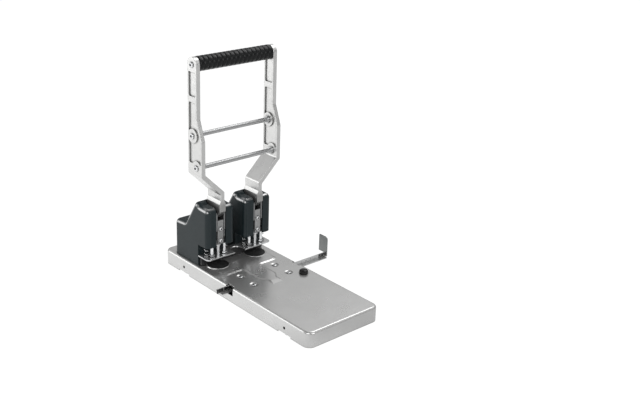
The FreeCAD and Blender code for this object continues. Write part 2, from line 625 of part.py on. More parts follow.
def anvil_plate():
    """Thick plate under the deck that carries the discs, the back stop and both heads."""
    plate = plan_prism(rectangle(-STOP_HALF_WIDTH, STOP_HALF_WIDTH, -ANVIL_FRONT, COVER_REAR - COVER_WALL,
                                 ANVIL_CORNER), ANVIL_UNDERSIDE, DECK_UNDERSIDE)
    seat_floor = DISC_TOP - DISC_THICKNESS - BODY_GAP / 3
    seats = [rod_z(SEAT_DIAMETER, x, 0, seat_floor, CLEAR) for x in HEADS.values()]
    return cut(plate, seats + deck_bolt_holes() + stop_screw_holes())


def cutting_disc(x):
    disc = rod_z(DISC_DIAMETER, x, 0, DISC_TOP - DISC_THICKNESS, DISC_TOP)
    disc = disc.makeChamfer(DISC_EDGE, edges_at_height(disc, DISC_TOP))
    return disc.cut(rod_z(DISC_MARK_DIAMETER, x, 0, DISC_TOP - DISC_MARK_DEPTH, CLEAR))


def bottom_cover():
    inset = SHELL_SHEET + BODY_GAP
    half_width = BASE_WIDTH / 2 - inset
    cover = plan_prism(rectangle(-half_width, half_width, -BASE_FRONT + inset, BASE_REAR - inset,
                                 CORNER_RADIUS - inset), BOTTOM_COVER_LOW, BOTTOM_COVER_HIGH)
    holes = [rod_z(BOTTOM_SCREW_DIAMETER + BODY_GAP, x, y, 0, BASE_TOP) for x, y in bottom_post_places()]
    return cut(cover, holes)


def bottom_post_places():
    x = BASE_WIDTH / 2 - BOTTOM_SCREW_INSET
    rows = (-BASE_FRONT + BOTTOM_SCREW_INSET, BASE_REAR - BOTTOM_SCREW_BACK_INSET)
    return [(side * x, row) for side in (-1, 1) for row in rows]


def bottom_posts():
    posts = []
    for x, y in bottom_post_places():
        post = rod_z(BOTTOM_POST_DIAMETER, x, y, BOTTOM_COVER_HIGH, DECK_UNDERSIDE)
        posts.append(post.cut(rod_z(BOTTOM_SCREW_DIAMETER, x, y, 0, DECK_UNDERSIDE - SHELL_SHEET)))
    return group(posts)


def bottom_screws():
    screws = []
    for x, y in bottom_post_places():
        head = rod_z(BOTTOM_SCREW_HEAD, x, y, BOTTOM_COVER_LOW - BOTTOM_SCREW_HEAD_HEIGHT, BOTTOM_COVER_LOW)
        shank_top = DECK_UNDERSIDE - 2 * SHELL_SHEET
        screws.append(fuse([head, rod_z(BOTTOM_SCREW_DIAMETER, x, y, BOTTOM_COVER_LOW, shank_top)]))
    return group(screws)


def rubber_feet():
    feet = []
    for y in FOOT_PLACES:
        for x in (-FOOT_X, FOOT_X):
            foot = rod_z(FOOT_DIAMETER, x, y, 0, FOOT_THICKNESS)
            feet.append(foot.makeChamfer(FOOT_BEVEL, edges_at_height(foot, 0)))
    return group(feet)


# ---------------------------------------------------------------- paper guide
def guide_channel():
    """Hat-section channel under the deck in which the guide rail slides."""
    rear_inner = RAIL_BACK_Y + BODY_GAP
    front_inner = RAIL_FLANGE_Y - BODY_GAP
    flange_top = DECK_UNDERSIDE - DIMPLE_DEPTH
    flange_low = flange_top - CHANNEL_SHEET
    floor_low = CHANNEL_FLOOR - CHANNEL_SHEET
    rear_edge = rear_inner + CHANNEL_FLANGE
    front_edge = min(y for x, y in DIMPLE_PLACES) - CHANNEL_FLANGE / 2
    channel = side_prism([
        (rear_edge, flange_top),
        (rear_inner, flange_top),
        (rear_inner, CHANNEL_FLOOR),
        (front_inner, CHANNEL_FLOOR),
        (front_inner, flange_top),
        (front_edge, flange_top),
        (front_edge, flange_low),
        (front_inner - CHANNEL_SHEET, flange_low),
        (front_inner - CHANNEL_SHEET, floor_low),
        (rear_inner + CHANNEL_SHEET, floor_low),
        (rear_inner + CHANNEL_SHEET, flange_low),
        (rear_edge, flange_low),
    ], -CHANNEL_HALF_LENGTH, CHANNEL_HALF_LENGTH)
    finger_reach = FINGER_WIDTH / 2 + BODY_GAP
    window = block(KNOB_X - finger_reach, KNOB_X + finger_reach, front_edge - 1, front_inner + BODY_GAP,
                   CHANNEL_FLOOR + BODY_GAP, DECK_UNDERSIDE)
    holes = [rod_z(CHANNEL_SCREW_DIAMETER + BODY_GAP, side * x, y, 0, BASE_TOP)
             for x, y in DIMPLE_PLACES for side in (-1, 1)]
    return cut(channel, [window] + holes)


def channel_screws():
    screws = []
    head_low = BASE_TOP - DIMPLE_DEPTH
    shank_low = DECK_UNDERSIDE - DIMPLE_DEPTH - CHANNEL_SHEET - CHANNEL_NUT_HEIGHT - 1
    for x, y in DIMPLE_PLACES:
        for side_x in (-x, x):
            head = button_head(CHANNEL_SCREW_HEAD, CHANNEL_SCREW_HEAD_HEIGHT, Vector(side_x, y, head_low),
                               Vector(0, 0, 1))
            screws.append(fuse([head, rod_z(CHANNEL_SCREW_DIAMETER, side_x, y, shank_low, head_low)]))
    return group(screws)


def channel_nuts():
    nuts = []
    nut_high = DECK_UNDERSIDE - DIMPLE_DEPTH - CHANNEL_SHEET
    nut_low = nut_high - CHANNEL_NUT_HEIGHT
    for x, y in DIMPLE_PLACES:
        for side_x in (-x, x):
            nut = hexagon_z(CHANNEL_NUT_WIDTH, side_x, y, nut_low, nut_high)
            nuts.append(nut.cut(rod_z(CHANNEL_SCREW_DIAMETER, side_x, y, 0, BASE_TOP)))
    return group(nuts)


def guide_rail():
    """Angle rail on edge, with its right end folded back into the upright paper stop."""
    rail = side_prism([
        (RAIL_BACK_Y, RAIL_FOOT),
        (RAIL_BACK_Y, RAIL_TOP),
        (RAIL_FACE_Y, RAIL_TOP),
        (RAIL_FACE_Y, RAIL_FOOT + RAIL_SHEET),
        (RAIL_FLANGE_Y, RAIL_FOOT + RAIL_SHEET),
        (RAIL_FLANGE_Y, RAIL_FOOT),
    ], -RAIL_LEFT_END, RAIL_RIGHT_END)
    lead_in = front_prism([
        (-RAIL_LEFT_END, RAIL_FOOT),
        (-RAIL_LEFT_END + RAIL_END_CHAMFER, RAIL_FOOT),
        (-RAIL_LEFT_END, RAIL_TOP - RAIL_SHEET),
    ], RAIL_FLANGE_Y - 1, RAIL_BACK_Y + 1)
    flange_end = block(RAIL_RIGHT_END - RAIL_FLANGE, RAIL_RIGHT_END + 1, RAIL_FLANGE_Y - 1, RAIL_FACE_Y,
                       0, RAIL_TOP)
    blade = side_prism([
        (RAIL_FACE_Y, BLADE_FOOT),
        (RAIL_FACE_Y + BLADE_DEPTH, BLADE_FOOT),
        (RAIL_FACE_Y + BLADE_DEPTH, BLADE_TOP, BLADE_CORNER / 3),
        (RAIL_FACE_Y, BLADE_TOP, BLADE_CORNER),
    ], RAIL_RIGHT_END - RAIL_SHEET, RAIL_RIGHT_END)
    return fuse([cut(rail, [lead_in, flange_end]), blade])


def clamp_finger():
    """Spring strip that the knob draws down onto the rail's flange."""
    strip_high = FINGER_LOW + FINGER_SHEET
    bend = KNOB_Y - KNOB_DIAMETER
    tail = bend - FINGER_WIDTH
    strip = side_prism([
        (RAIL_FACE_Y - BODY_GAP - RAIL_SHEET, FINGER_LOW),
        (RAIL_FACE_Y - BODY_GAP - RAIL_SHEET, strip_high),
        (bend + FINGER_SHEET, strip_high),
        (bend + FINGER_SHEET, DECK_UNDERSIDE),
        (tail, DECK_UNDERSIDE),
        (tail, DECK_UNDERSIDE - FINGER_SHEET),
        (bend, DECK_UNDERSIDE - FINGER_SHEET),
        (bend, FINGER_LOW),
    ], KNOB_X - FINGER_WIDTH / 2, KNOB_X + FINGER_WIDTH / 2)
    return strip.cut(rod_z(KNOB_SCREW_DIAMETER + 2 * BODY_GAP, KNOB_X, KNOB_Y, 0, BASE_TOP))


def clamp_nut():
    nut = hexagon_z(CLAMP_NUT_WIDTH, KNOB_X, KNOB_Y, FINGER_LOW - CHANNEL_NUT_HEIGHT, FINGER_LOW)
    return nut.cut(rod_z(KNOB_SCREW_DIAMETER + 2 * RUNNING_GAP, KNOB_X, KNOB_Y, 0, BASE_TOP))


def guide_knob():
    knob = rod_z(KNOB_DIAMETER, KNOB_X, KNOB_Y, KNOB_LOW, KNOB_HIGH)
    knob = knob.makeFillet(KNOB_DOME, edges_at_height(knob, KNOB_HIGH))
    socket = rod_z(KNOB_SCREW_DIAMETER, KNOB_X, KNOB_Y, 0, KNOB_HIGH - KNOB_DOME)
    return knob.cut(socket)


def knob_screw():
    return rod_z(KNOB_SCREW_DIAMETER, KNOB_X, KNOB_Y, RAIL_FOOT - KNOB_SCREW_DROP, KNOB_HIGH - KNOB_DOME)


# ---------------------------------------------------------------- heads
def cover_profile(inset):
    """Side outline of a head cover, moved inwards by the inset on every side but the bottom."""
    slope_rise = TOWER_REAR_HEIGHT - SLOPE_FOOT_HEIGHT
    slope_inset = inset * (math.hypot(SLOPE_LENGTH, slope_rise) - SLOPE_LENGTH) / slope_rise
    bottom = BASE_TOP - inset
    return [
        (COVER_REAR - inset, bottom),
        (COVER_REAR - inset, COVER_REAR_HEIGHT - inset, COVER_CORNER_RADIUS - inset),
        (SLOPE_FOOT - slope_inset, SLOPE_FOOT_HEIGHT - inset, COVER_SLOPE_RADIUS),
        (TOWER_REAR - slope_inset, TOWER_REAR_HEIGHT - inset, COVER_CORNER_RADIUS - inset),
        (TOWER_REAR - BROW_LENGTH, BROW_FOOT_HEIGHT - inset, BROW_FOOT_RADIUS),
        (-COVER_FRONT + inset, TOWER_FRONT_HEIGHT - inset, COVER_CORNER_RADIUS - inset),
        (-COVER_FRONT + inset, OVERHANG_HEIGHT - inset),
        (THROAT_WALL + inset, OVERHANG_HEIGHT - inset),
        (THROAT_WALL + inset, bottom),
    ]


def softened_sides(body, radius):
    """The body with the edges of both its sides rounded above the overhang."""
    edges = []
    for edge in body.Edges:
        box = edge.BoundBox
        if box.XLength < 1e-4 and box.ZMax > OVERHANG_HEIGHT + COVER_WALL:
            edges.append(edge)
    return body.makeFillet(radius, edges)


def head_cover(x):
    """Moulded cover of one head, open below its overhang and along its slot."""
    cover = side_prism(cover_profile(0), x - COVER_HALF_WIDTH, x + COVER_HALF_WIDTH)
    cover = softened_sides(cover, COVER_EDGE_RADIUS)
    hollow = side_prism(cover_profile(COVER_WALL), x - COVER_INNER_HALF_WIDTH, x + COVER_INNER_HALF_WIDTH)
    hollow = softened_sides(hollow, COVER_HOLLOW_RADIUS)
    slot = block(x - SLOT_HALF_WIDTH, x + SLOT_HALF_WIDTH, -CLEAR, SLOT_BACK, OVERHANG_HEIGHT - 1, CLEAR)
    screw_hole = rod_y(COVER_SCREW_DIAMETER + BODY_GAP, x, 0, CLEAR, COVER_SCREW_AT)
    return cut(cover, [hollow, slot, screw_hole])


def cover_screws():
    screws = []
    for x in HEADS.values():
        head_base = Vector(x, COVER_REAR, COVER_SCREW_AT)
        head = button_head(COVER_SCREW_HEAD, COVER_SCREW_HEAD_HEIGHT, head_base, Vector(0, 1, 0))
        shank = rod_y(COVER_SCREW_DIAMETER, x, FRAME_COLUMN_BACK, COVER_REAR, COVER_SCREW_AT)
        screws.append(fuse([head, shank]))
    return group(screws)


def cheek_corners():
    """Side outline of a frame cheek: a column with an arm that reaches forward over the ram."""
    slope_rise = TOWER_REAR_HEIGHT - SLOPE_FOOT_HEIGHT
    lean = SLOPE_LENGTH / slope_rise
    clear = (COVER_WALL + FRAME_COVER_PLAY) * math.hypot(SLOPE_LENGTH, slope_rise) / slope_rise
    top_back = TOWER_REAR + (TOWER_REAR_HEIGHT - FRAME_TOP) * lean - clear
    back_height = COVER_REAR_HEIGHT - COVER_WALL - FRAME_COVER_PLAY
    slope_back = SLOPE_FOOT + (SLOPE_FOOT_HEIGHT - back_height) * lean - clear
    return [
        (FRAME_COLUMN_FRONT, BASE_TOP),
        (FRAME_COLUMN_FRONT, FRAME_ARM_HEIGHT, 10),
        (-FRAME_FRONT, FRAME_ARM_HEIGHT, 2),
        (-FRAME_FRONT, FRAME_TOP, 6),
        (top_back, FRAME_TOP, 5),
        (slope_back, back_height, 8),
        (FRAME_COLUMN_BACK, back_height, 4),
        (FRAME_COLUMN_BACK, BASE_TOP),
    ]


def head_frame(x):
    """Two cheeks joined by a rear web and a foot flange; the flange is bolted to the base."""
    corners = cheek_corners()
    cheeks = [side_prism(corners, x + FRAME_INNER, x + FRAME_OUTER),
              side_prism(corners, x - FRAME_OUTER, x - FRAME_INNER)]
    web_top = COVER_REAR_HEIGHT - FRAME_WEB_DROP
    web = block(x - FRAME_INNER, x + FRAME_INNER, FRAME_COLUMN_BACK - FRAME_CHEEK, FRAME_COLUMN_BACK,
                BASE_TOP, web_top)
    flange = block(x - FRAME_FLANGE_HALF_WIDTH, x + FRAME_FLANGE_HALF_WIDTH, FRAME_COLUMN_FRONT,
                   FRAME_COLUMN_BACK, BASE_TOP, FRAME_FOOT)
    boss = rod_y(COVER_SCREW_HEAD + COVER_WALL, x, FRAME_COLUMN_BACK - FRAME_CHEEK, COVER_REAR - COVER_WALL,
                 COVER_SCREW_AT)
    frame = fuse(cheeks + [web, flange, boss])
    screw_hole = rod_y(COVER_SCREW_DIAMETER, x, FRAME_COLUMN_BACK, CLEAR, COVER_SCREW_AT)
    shaft_bore = rod_x(PIVOT_SHAFT_DIAMETER, x - FRAME_OUTER - 1, x + FRAME_OUTER + 1, PIVOT_Y, PIVOT_HEIGHT)
    sockets = [rod_z(POST_SPIGOT_DIAMETER, x + offset, 0, FRAME_ARM_HEIGHT - 1, SPIGOT_TOP)
               for offset in (-POST_OFFSET, POST_OFFSET)]
    return cut(frame, [screw_hole, shaft_bore] + sockets + deck_bolt_holes())


def frame_bolts():
    bolts = []
    head_high = ANVIL_UNDERSIDE
    for x in HEADS.values():
        for row in FRAME_BOLT_ROWS:
            for offset in (-FRAME_BOLT_X, FRAME_BOLT_X):
                head = hexagon_z(FRAME_BOLT_WIDTH, x + offset, row, head_high - FRAME_BOLT_HEAD_HEIGHT,
                                 head_high)
                shank = rod_z(FRAME_BOLT_DIAMETER, x + offset, row, head_high,
                              FRAME_FOOT + FRAME_BOLT_DIAMETER)
                bolts.append(fuse([head, shank]))
    return group(bolts)


def frame_nuts():
    nuts = []
    for x in HEADS.values():
        for row in FRAME_BOLT_ROWS:
            for offset in (-FRAME_BOLT_X, FRAME_BOLT_X):
                nut = hexagon_z(FRAME_BOLT_WIDTH, x + offset, row, FRAME_FOOT, FRAME_FOOT + FRAME_NUT_HEIGHT)
                nuts.append(nut.cut(rod_z(FRAME_BOLT_DIAMETER, x + offset, row, 0, CLEAR)))
    return group(nuts)


def stripper_plate():
    """Thin plate over the throat that the paper is pulled off against."""
    corners = [
        (-PLATE_HALF_WIDTH, -PLATE_FRONT, PLATE_CORNER),
        (PLATE_HALF_WIDTH, -PLATE_FRONT, PLATE_CORNER),
        (PLATE_HALF_WIDTH, STOP_BACK),
        (-PLATE_HALF_WIDTH, STOP_BACK),
    ]
    plate = plan_prism(corners, PLATE_UNDERSIDE, PLATE_TOP)
    notch = [block(-PLATE_NOTCH_RADIUS, PLATE_NOTCH_RADIUS, -CLEAR, 0, 0, CLEAR),
             rod_z(2 * PLATE_NOTCH_RADIUS, 0, 0, 0, CLEAR)]
    holes = []
    for x in HEADS.values():
        holes.append(rod_z(PUNCH_DIAMETER + 2 * RUNNING_GAP, x, 0, 0, CLEAR))
        for offset in (-POST_OFFSET, POST_OFFSET):
            holes.append(rod_z(POST_SPIGOT_DIAMETER, x + offset, 0, 0, CLEAR))
    sinks = [stop_screw_head(x) for x in STOP_SCREW_PLACES]
    return cut(plate, notch + holes + sinks + stop_screw_holes())


def stop_screw_head(x):
    sink_depth = (STOP_SCREW_HEAD - STOP_SCREW_DIAMETER) / 2
    return cone_z(STOP_SCREW_DIAMETER, STOP_SCREW_HEAD, x, STOP_SCREW_Y, PLATE_TOP - sink_depth, PLATE_TOP)


def back_stop():
    """Bar that sets the paper's edge and carries the stripper plate; it arches over the disc rims."""
    bar = block(-STOP_HALF_WIDTH, STOP_HALF_WIDTH, STOP_FRONT, STOP_BACK, PLATEAU_TOP, PLATE_UNDERSIDE)
    rim_reach = SEAT_DIAMETER + 2 * SEAT_RIM_WIDTH + 2 * BODY_GAP
    reliefs = [rod_z(rim_reach, x, 0, 0, PLATEAU_TOP + SEAT_RIM_RISE + BODY_GAP) for x in HEADS.values()]
    return cut(bar, reliefs + stop_screw_holes())


def stop_screws():
    screws = []
    for x in STOP_SCREW_PLACES:
        shank = rod_z(STOP_SCREW_DIAMETER, x, STOP_SCREW_Y, ANVIL_UNDERSIDE, PLATE_TOP)
        screws.append(fuse([stop_screw_head(x), shank]))
    return group(screws)


def guide_posts(x):
    posts = []
    for offset in (-POST_OFFSET, POST_OFFSET):
        column = rod_z(POST_DIAMETER, x + offset, 0, PLATE_TOP, FRAME_ARM_HEIGHT)
        spigot = rod_z(POST_SPIGOT_DIAMETER, x + offset, 0, PLATE_UNDERSIDE, SPIGOT_TOP)
        posts.append(fuse([column, spigot]))
    return group(posts)


def pivot_shaft(x):
    reach = FRAME_OUTER + PIVOT_SHAFT_OVERHANG
    return rod_x(PIVOT_SHAFT_DIAMETER, x - reach, x + reach, PIVOT_Y, PIVOT_HEIGHT)


def pivot_clips():
    clips = []
    for x in HEADS.values():
        for start in (x + FRAME_OUTER, x - FRAME_OUTER - CLIP_THICKNESS):
            clip = rod_x(CLIP_DIAMETER, start, start + CLIP_THICKNESS, PIVOT_Y, PIVOT_HEIGHT)
            clips.append(clip.cut(rod_x(PIVOT_SHAFT_DIAMETER, start - 1, start + 2 * CLIP_THICKNESS,
                                        PIVOT_Y, PIVOT_HEIGHT)))
    return group(clips)


def spring_section(angle, height):
    """One six-sided section of the spring's wire, at an angle round the coil and a height."""
    coil_radius = (SPRING_DIAMETER - SPRING_WIRE) / 2
    corners = []
    for side in range(7):
        around = math.radians(60 * side + 30)
        reach = coil_radius + SPRING_WIRE / 2 * math.cos(around)
        rise = height + SPRING_WIRE / 2 * math.sin(around)
        corners.append(Vector(reach * math.cos(angle), reach * math.sin(angle), rise))
    return Part.makePolygon(corners)


def return_springs(x):
    """Two coil springs that stand on the stripper plate inside the ram's cups."""
    low = PLATE_TOP + SPRING_WIRE / 2
    rise = SPRING_TOP - PLATE_TOP - SPRING_WIRE
    steps = SPRING_TURNS * SPRING_STEPS
    sections = []
    for step in range(steps + 1):
        share = step / steps
        sections.append(spring_section(2 * math.pi * SPRING_TURNS * share, low + rise * share))
    coil = Part.makeLoft(sections, True, True)
    places = [Vector(x + offset, SPRING_Y, 0) for offset in (-SPRING_OFFSET, SPRING_OFFSET)]
    return group([coil.translated(place) for place in places])


# ---------------------------------------------------------------- rams
def crank_slot(x):
    """The level slot in the fork in which the crank pin sways to and fro."""
    radius = CRANK_PIN_DIAMETER / 2 + CRANK_SLOT_PLAY
    reach = CRANK_SWAY / 2 + radius
    slot = side_prism([
        (-reach, CRANK_HEIGHT - radius, radius * 0.99),
        (reach, CRANK_HEIGHT - radius, radius * 0.99),
        (reach, CRANK_HEIGHT + radius, radius * 0.99),
        (-reach, CRANK_HEIGHT + radius, radius * 0.99),
    ], x - RAM_HALF_WIDTH - 1, x + RAM_HALF_WIDTH + 1)
    return slot


def ram(x):
    """Sliding block with a fork for the crank pin above and a crosshead with spring cups below."""
    body = block(x - RAM_HALF_WIDTH, x + RAM_HALF_WIDTH, -RAM_FRONT, RAM_BACK, RAM_FOOT_HEIGHT,
                 RAM_SHOULDER_HEIGHT)
    crosshead = plan_prism(rectangle(x - CROSSHEAD_HALF_WIDTH, x + CROSSHEAD_HALF_WIDTH, -CROSSHEAD_FRONT,
                                     CROSSHEAD_BACK, CROSSHEAD_CORNER), RAM_FOOT_HEIGHT, CROSSHEAD_TOP)
    cheek = [
        (-FORK_HALF_DEPTH, RAM_SHOULDER_HEIGHT - FORK_HALF_DEPTH, 2),
        (FORK_HALF_DEPTH, RAM_SHOULDER_HEIGHT - FORK_HALF_DEPTH),
        (FORK_HALF_DEPTH, CRANK_HEIGHT + FORK_RISE, 3),
        (-FORK_HALF_DEPTH, CRANK_HEIGHT + FORK_RISE, 3),
    ]
    cheeks = [side_prism(cheek, x + FORK_INNER, x + RAM_HALF_WIDTH),
              side_prism(cheek, x - RAM_HALF_WIDTH, x - FORK_INNER)]
    cups = []
    bores = []
    for offset in (-SPRING_OFFSET, SPRING_OFFSET):
        cups.append(rod_z(CUP_OUTER_DIAMETER, x + offset, SPRING_Y, RAM_FOOT_HEIGHT, CUP_ROOF))
        bores.append(rod_z(CUP_DIAMETER, x + offset, SPRING_Y, 0, SPRING_TOP))
    for offset in (-POST_OFFSET, POST_OFFSET):
        bores.append(rod_z(POST_BUSH_DIAMETER, x + offset, 0, 0, CROSSHEAD_TOP))
    bores.append(rod_z(PUNCH_DIAMETER, x, 0, 0, PUNCH_TOP))
    bores.append(crank_slot(x))
    for height, tip in ram_bolt_tips():
        bores.append(rod_y(RAM_BOLT_DIAMETER, x, -CLEAR, tip, height))
    return cut(fuse([body, crosshead] + cheeks + cups), bores)


def ram_bolt_tips():
    """Height and tip of each bolt: the upper one holds the bar, the lower one grips the punch."""
    upper = LINK_BAR_TOP - RAM_BOLT_DROP
    lower = RAM_FOOT_HEIGHT + RAM_BOLT_RISE
    return ((upper, RAM_BACK / 2), (lower, -PUNCH_DIAMETER / 2))


def link_bar(x):
    """Bar on the front of the ram that closes its fork from below and clamps the punch."""
    front = -RAM_FRONT - LINK_BAR_THICKNESS
    bar = front_prism([
        (x - LINK_BAR_HALF_WIDTH, RAM_FOOT_HEIGHT + LINK_BAR_FOOT_RISE),
        (x + LINK_BAR_HALF_WIDTH, RAM_FOOT_HEIGHT + LINK_BAR_FOOT_RISE),
        (x + LINK_BAR_HALF_WIDTH, LINK_BAR_TOP, LINK_BAR_CORNER),
        (x - LINK_BAR_HALF_WIDTH, LINK_BAR_TOP, LINK_BAR_CORNER),
    ], front, -RAM_FRONT)
    crosshead_relief = block(x - CLEAR, x + CLEAR, -CROSSHEAD_FRONT, 0, 0, CROSSHEAD_TOP)
    holes = [rod_y(RAM_BOLT_DIAMETER, x, -CLEAR, 0, height) for height, tip in ram_bolt_tips()]
    return cut(bar, [crosshead_relief] + holes)


def ram_bolts(x):
    bolts = []
    bar_front = -RAM_FRONT - LINK_BAR_THICKNESS
    washer_front = bar_front - RAM_WASHER_THICKNESS
    for height, tip in ram_bolt_tips():
        washer = rod_y(RAM_WASHER, x, washer_front, bar_front, height)
        seat = Vector(x, washer_front, height)
        head = button_head(RAM_BOLT_HEAD, RAM_BOLT_HEAD_HEIGHT, seat, Vector(0, -1, 0))
        shank = rod_y(RAM_BOLT_DIAMETER, x, bar_front, tip, height)
        bolts.append(fuse([washer, head, shank]))
    return group(bolts)


def ram_bushes(x):
    bushes = []
    for offset in (-POST_OFFSET, POST_OFFSET):
        bush = rod_z(POST_BUSH_DIAMETER, x + offset, 0, RAM_FOOT_HEIGHT, CROSSHEAD_TOP)
        bushes.append(bush.cut(rod_z(POST_DIAMETER + 2 * RUNNING_GAP, x + offset, 0, 0, CLEAR)))
    return group(bushes)


def punch(x):
    """Hollow punch with a collar that seats against the crosshead."""
    tube = rod_z(PUNCH_DIAMETER, x, 0, PUNCH_TIP_HEIGHT, PUNCH_TOP)
    collar = rod_z(PUNCH_COLLAR_DIAMETER, x, 0, RAM_FOOT_HEIGHT - PUNCH_COLLAR_HEIGHT, RAM_FOOT_HEIGHT)
    bore = rod_z(PUNCH_BORE, x, 0, 0, RAM_FOOT_HEIGHT)
    return fuse([tube, collar]).cut(bore)


# ---------------------------------------------------------------- lever
def arm_strip():
    """Front view of the right arm: upright, bent inwards, then upright in the head's slot."""
    slot_outer = HOLE_PITCH / 2 + SLOT_PART_THICKNESS / 2
    slot_inner = HOLE_PITCH / 2 - SLOT_PART_THICKNESS / 2
    run = ARM_OUTER - slot_outer
    rise = BEND_TOP - BEND_FOOT
    lift = ARM_THICKNESS * (math.hypot(run, rise) - rise) / run
    inner_top = BEND_TOP + lift
    inner_foot = inner_top - (ARM_INNER - slot_inner) * rise / run
    return [
        (ARM_OUTER, CLEAR),
        (ARM_OUTER, BEND_TOP, BEND_RADIUS),
        (slot_outer, BEND_FOOT, BEND_RADIUS),
        (slot_outer, FOOT_BOSS_FRONT_HEIGHT),
        (slot_inner, FOOT_BOSS_FRONT_HEIGHT),
        (slot_inner, inner_foot, BEND_RADIUS),
        (ARM_INNER, inner_top, BEND_RADIUS),
        (ARM_INNER, CLEAR),
    ]


def arm_side():
    """Side view of an arm above its foot."""
    top = GRIP_HEIGHT + ARM_UPPER_DEPTH / 2
    top_radius = ARM_UPPER_DEPTH / 2 * 0.99
    return [
        (ARM_REAR, PIVOT_HEIGHT),
        (ARM_REAR, top, top_radius),
        (ARM_FRONT_UPPER, top, top_radius),
        (ARM_FRONT_UPPER, SHOULDER_TOP, SHOULDER_RADIUS),
        (ARM_FRONT_LOWER, SHOULDER_FOOT, SHOULDER_RADIUS),
        (ARM_FRONT_LOWER, PIVOT_HEIGHT),
    ]


def arm_foot():
    """Thick foot of the right arm: it carries the crank pin in its nose and turns about its hub."""
    x = HOLE_PITCH / 2
    nose_low = (CRANK_Y + NOSE_RADIUS * 0.36, CRANK_HEIGHT - NOSE_RADIUS * 0.93)
    nose_front = (CRANK_Y - NOSE_RADIUS * 0.87, CRANK_HEIGHT - NOSE_RADIUS * 0.5)
    hub_front = (PIVOT_Y - HUB_RADIUS * 0.9, PIVOT_HEIGHT - HUB_RADIUS * 0.44)
    foot = side_prism([
        (ARM_REAR, FOOT_BOSS_TOP),
        (ARM_FRONT_LOWER, FOOT_BOSS_TOP),
        (ARM_FRONT_LOWER, FOOT_BOSS_FRONT_HEIGHT, FOOT_BOSS_CORNER),
        nose_front,
        nose_low,
        hub_front,
        (PIVOT_Y, PIVOT_HEIGHT),
        (ARM_REAR, PIVOT_HEIGHT),
    ], x - FOOT_BOSS_HALF_WIDTH, x + FOOT_BOSS_HALF_WIDTH)
    ramp_foot = FOOT_BOSS_TOP - FOOT_BOSS_RAMP
    ramped = front_prism([
        (x - FOOT_BOSS_HALF_WIDTH, 0),
        (x + FOOT_BOSS_HALF_WIDTH, 0),
        (x + FOOT_BOSS_HALF_WIDTH, ramp_foot),
        (x + SLOT_PART_THICKNESS / 2, FOOT_BOSS_TOP),
        (x - SLOT_PART_THICKNESS / 2, FOOT_BOSS_TOP),
        (x - FOOT_BOSS_HALF_WIDTH, ramp_foot),
    ], -CLEAR, CLEAR)
    foot = foot.common(ramped)
    nose = rod_x(2 * NOSE_RADIUS, x - FOOT_BOSS_HALF_WIDTH, x + FOOT_BOSS_HALF_WIDTH, CRANK_Y, CRANK_HEIGHT)
    hub = rod_x(2 * HUB_RADIUS, x - FOOT_BOSS_HALF_WIDTH, x + FOOT_BOSS_HALF_WIDTH, PIVOT_Y, PIVOT_HEIGHT)
    return [foot, nose, hub]


def arm_pockets():
    """Shallow pockets in both faces of the arm, which leave flanges, ribs and round bosses."""
    upper_front = ARM_FRONT_UPPER + FLANGE_WIDTH
    lower_front = ARM_FRONT_LOWER + FLANGE_WIDTH
    rear = ARM_REAR - FLANGE_WIDTH
    rib_middle = (SHOULDER_TOP + GRIP_HEIGHT) / 2 - ROD_BOSS_RADIUS
    rib_top = rib_middle + POCKET_RIB / 2
    rib_foot = rib_middle - POCKET_RIB / 2
    pocket_foot = LOWER_ROD_HEIGHT + ROD_BOSS_RADIUS / 2
    grip_end = GRIP_HEIGHT - ROD_BOSS_RADIUS
    outlines = [
        [
            (rear, rib_top, POCKET_CORNER),
            (rear, GRIP_HEIGHT),
            (upper_front, GRIP_HEIGHT),
            (upper_front, rib_top, POCKET_CORNER),
        ],
        [
            (rear, rib_foot, POCKET_CORNER),
            (upper_front, rib_foot, POCKET_CORNER),
            (upper_front, SHOULDER_TOP),
            (lower_front, SHOULDER_FOOT),
            (lower_front, pocket_foot, POCKET_CORNER),
            (rear, pocket_foot, POCKET_CORNER),
        ],
    ]
    bosses = [(BAIL_AXIS_Y, GRIP_HEIGHT), (BAIL_AXIS_Y, UPPER_ROD_HEIGHT), (LOWER_ROD_Y, LOWER_ROD_HEIGHT)]
    pockets = []
    for x0, x1 in ((ARM_OUTER - POCKET_DEPTH, ARM_OUTER + 1), (ARM_INNER - 1, ARM_INNER + POCKET_DEPTH)):
        for corners in outlines:
            pocket = side_prism(corners, x0, x1)
            for y, z in bosses:
                pocket = pocket.cut(rod_x(2 * ROD_BOSS_RADIUS, x0 - 1, x1 + 1, y, z))
            pockets.append(pocket)
    grip_room = block(ARM_INNER - 2, ARM_OUTER + 2, -CLEAR, CLEAR, grip_end, CLEAR)
    return [pocket.cut(grip_room) for pocket in pockets]


def right_arm():
    strip = front_prism(arm_strip(), -CLEAR, CLEAR)
    side = side_prism(arm_side(), 0, CLEAR)
    arm = fuse([strip.common(side)] + arm_foot())
    x = HOLE_PITCH / 2
    holes = [rod_x(CRANK_PIN_DIAMETER, x - CLEAR, x + CLEAR, CRANK_Y, CRANK_HEIGHT),
             rod_x(PIVOT_BUSH_DIAMETER, x - CLEAR, x + CLEAR, PIVOT_Y, PIVOT_HEIGHT)]
    for y, z in bail_bolt_places():
        holes.append(rod_x(BAIL_BOLT_DIAMETER, ARM_INNER - 1, ARM_OUTER + 1, y, z))
    return cut(arm, arm_pockets() + holes)


def bail_bolt_places():
    return ((BAIL_AXIS_Y, GRIP_HEIGHT), (BAIL_AXIS_Y, UPPER_ROD_HEIGHT), (LOWER_ROD_Y, LOWER_ROD_HEIGHT))


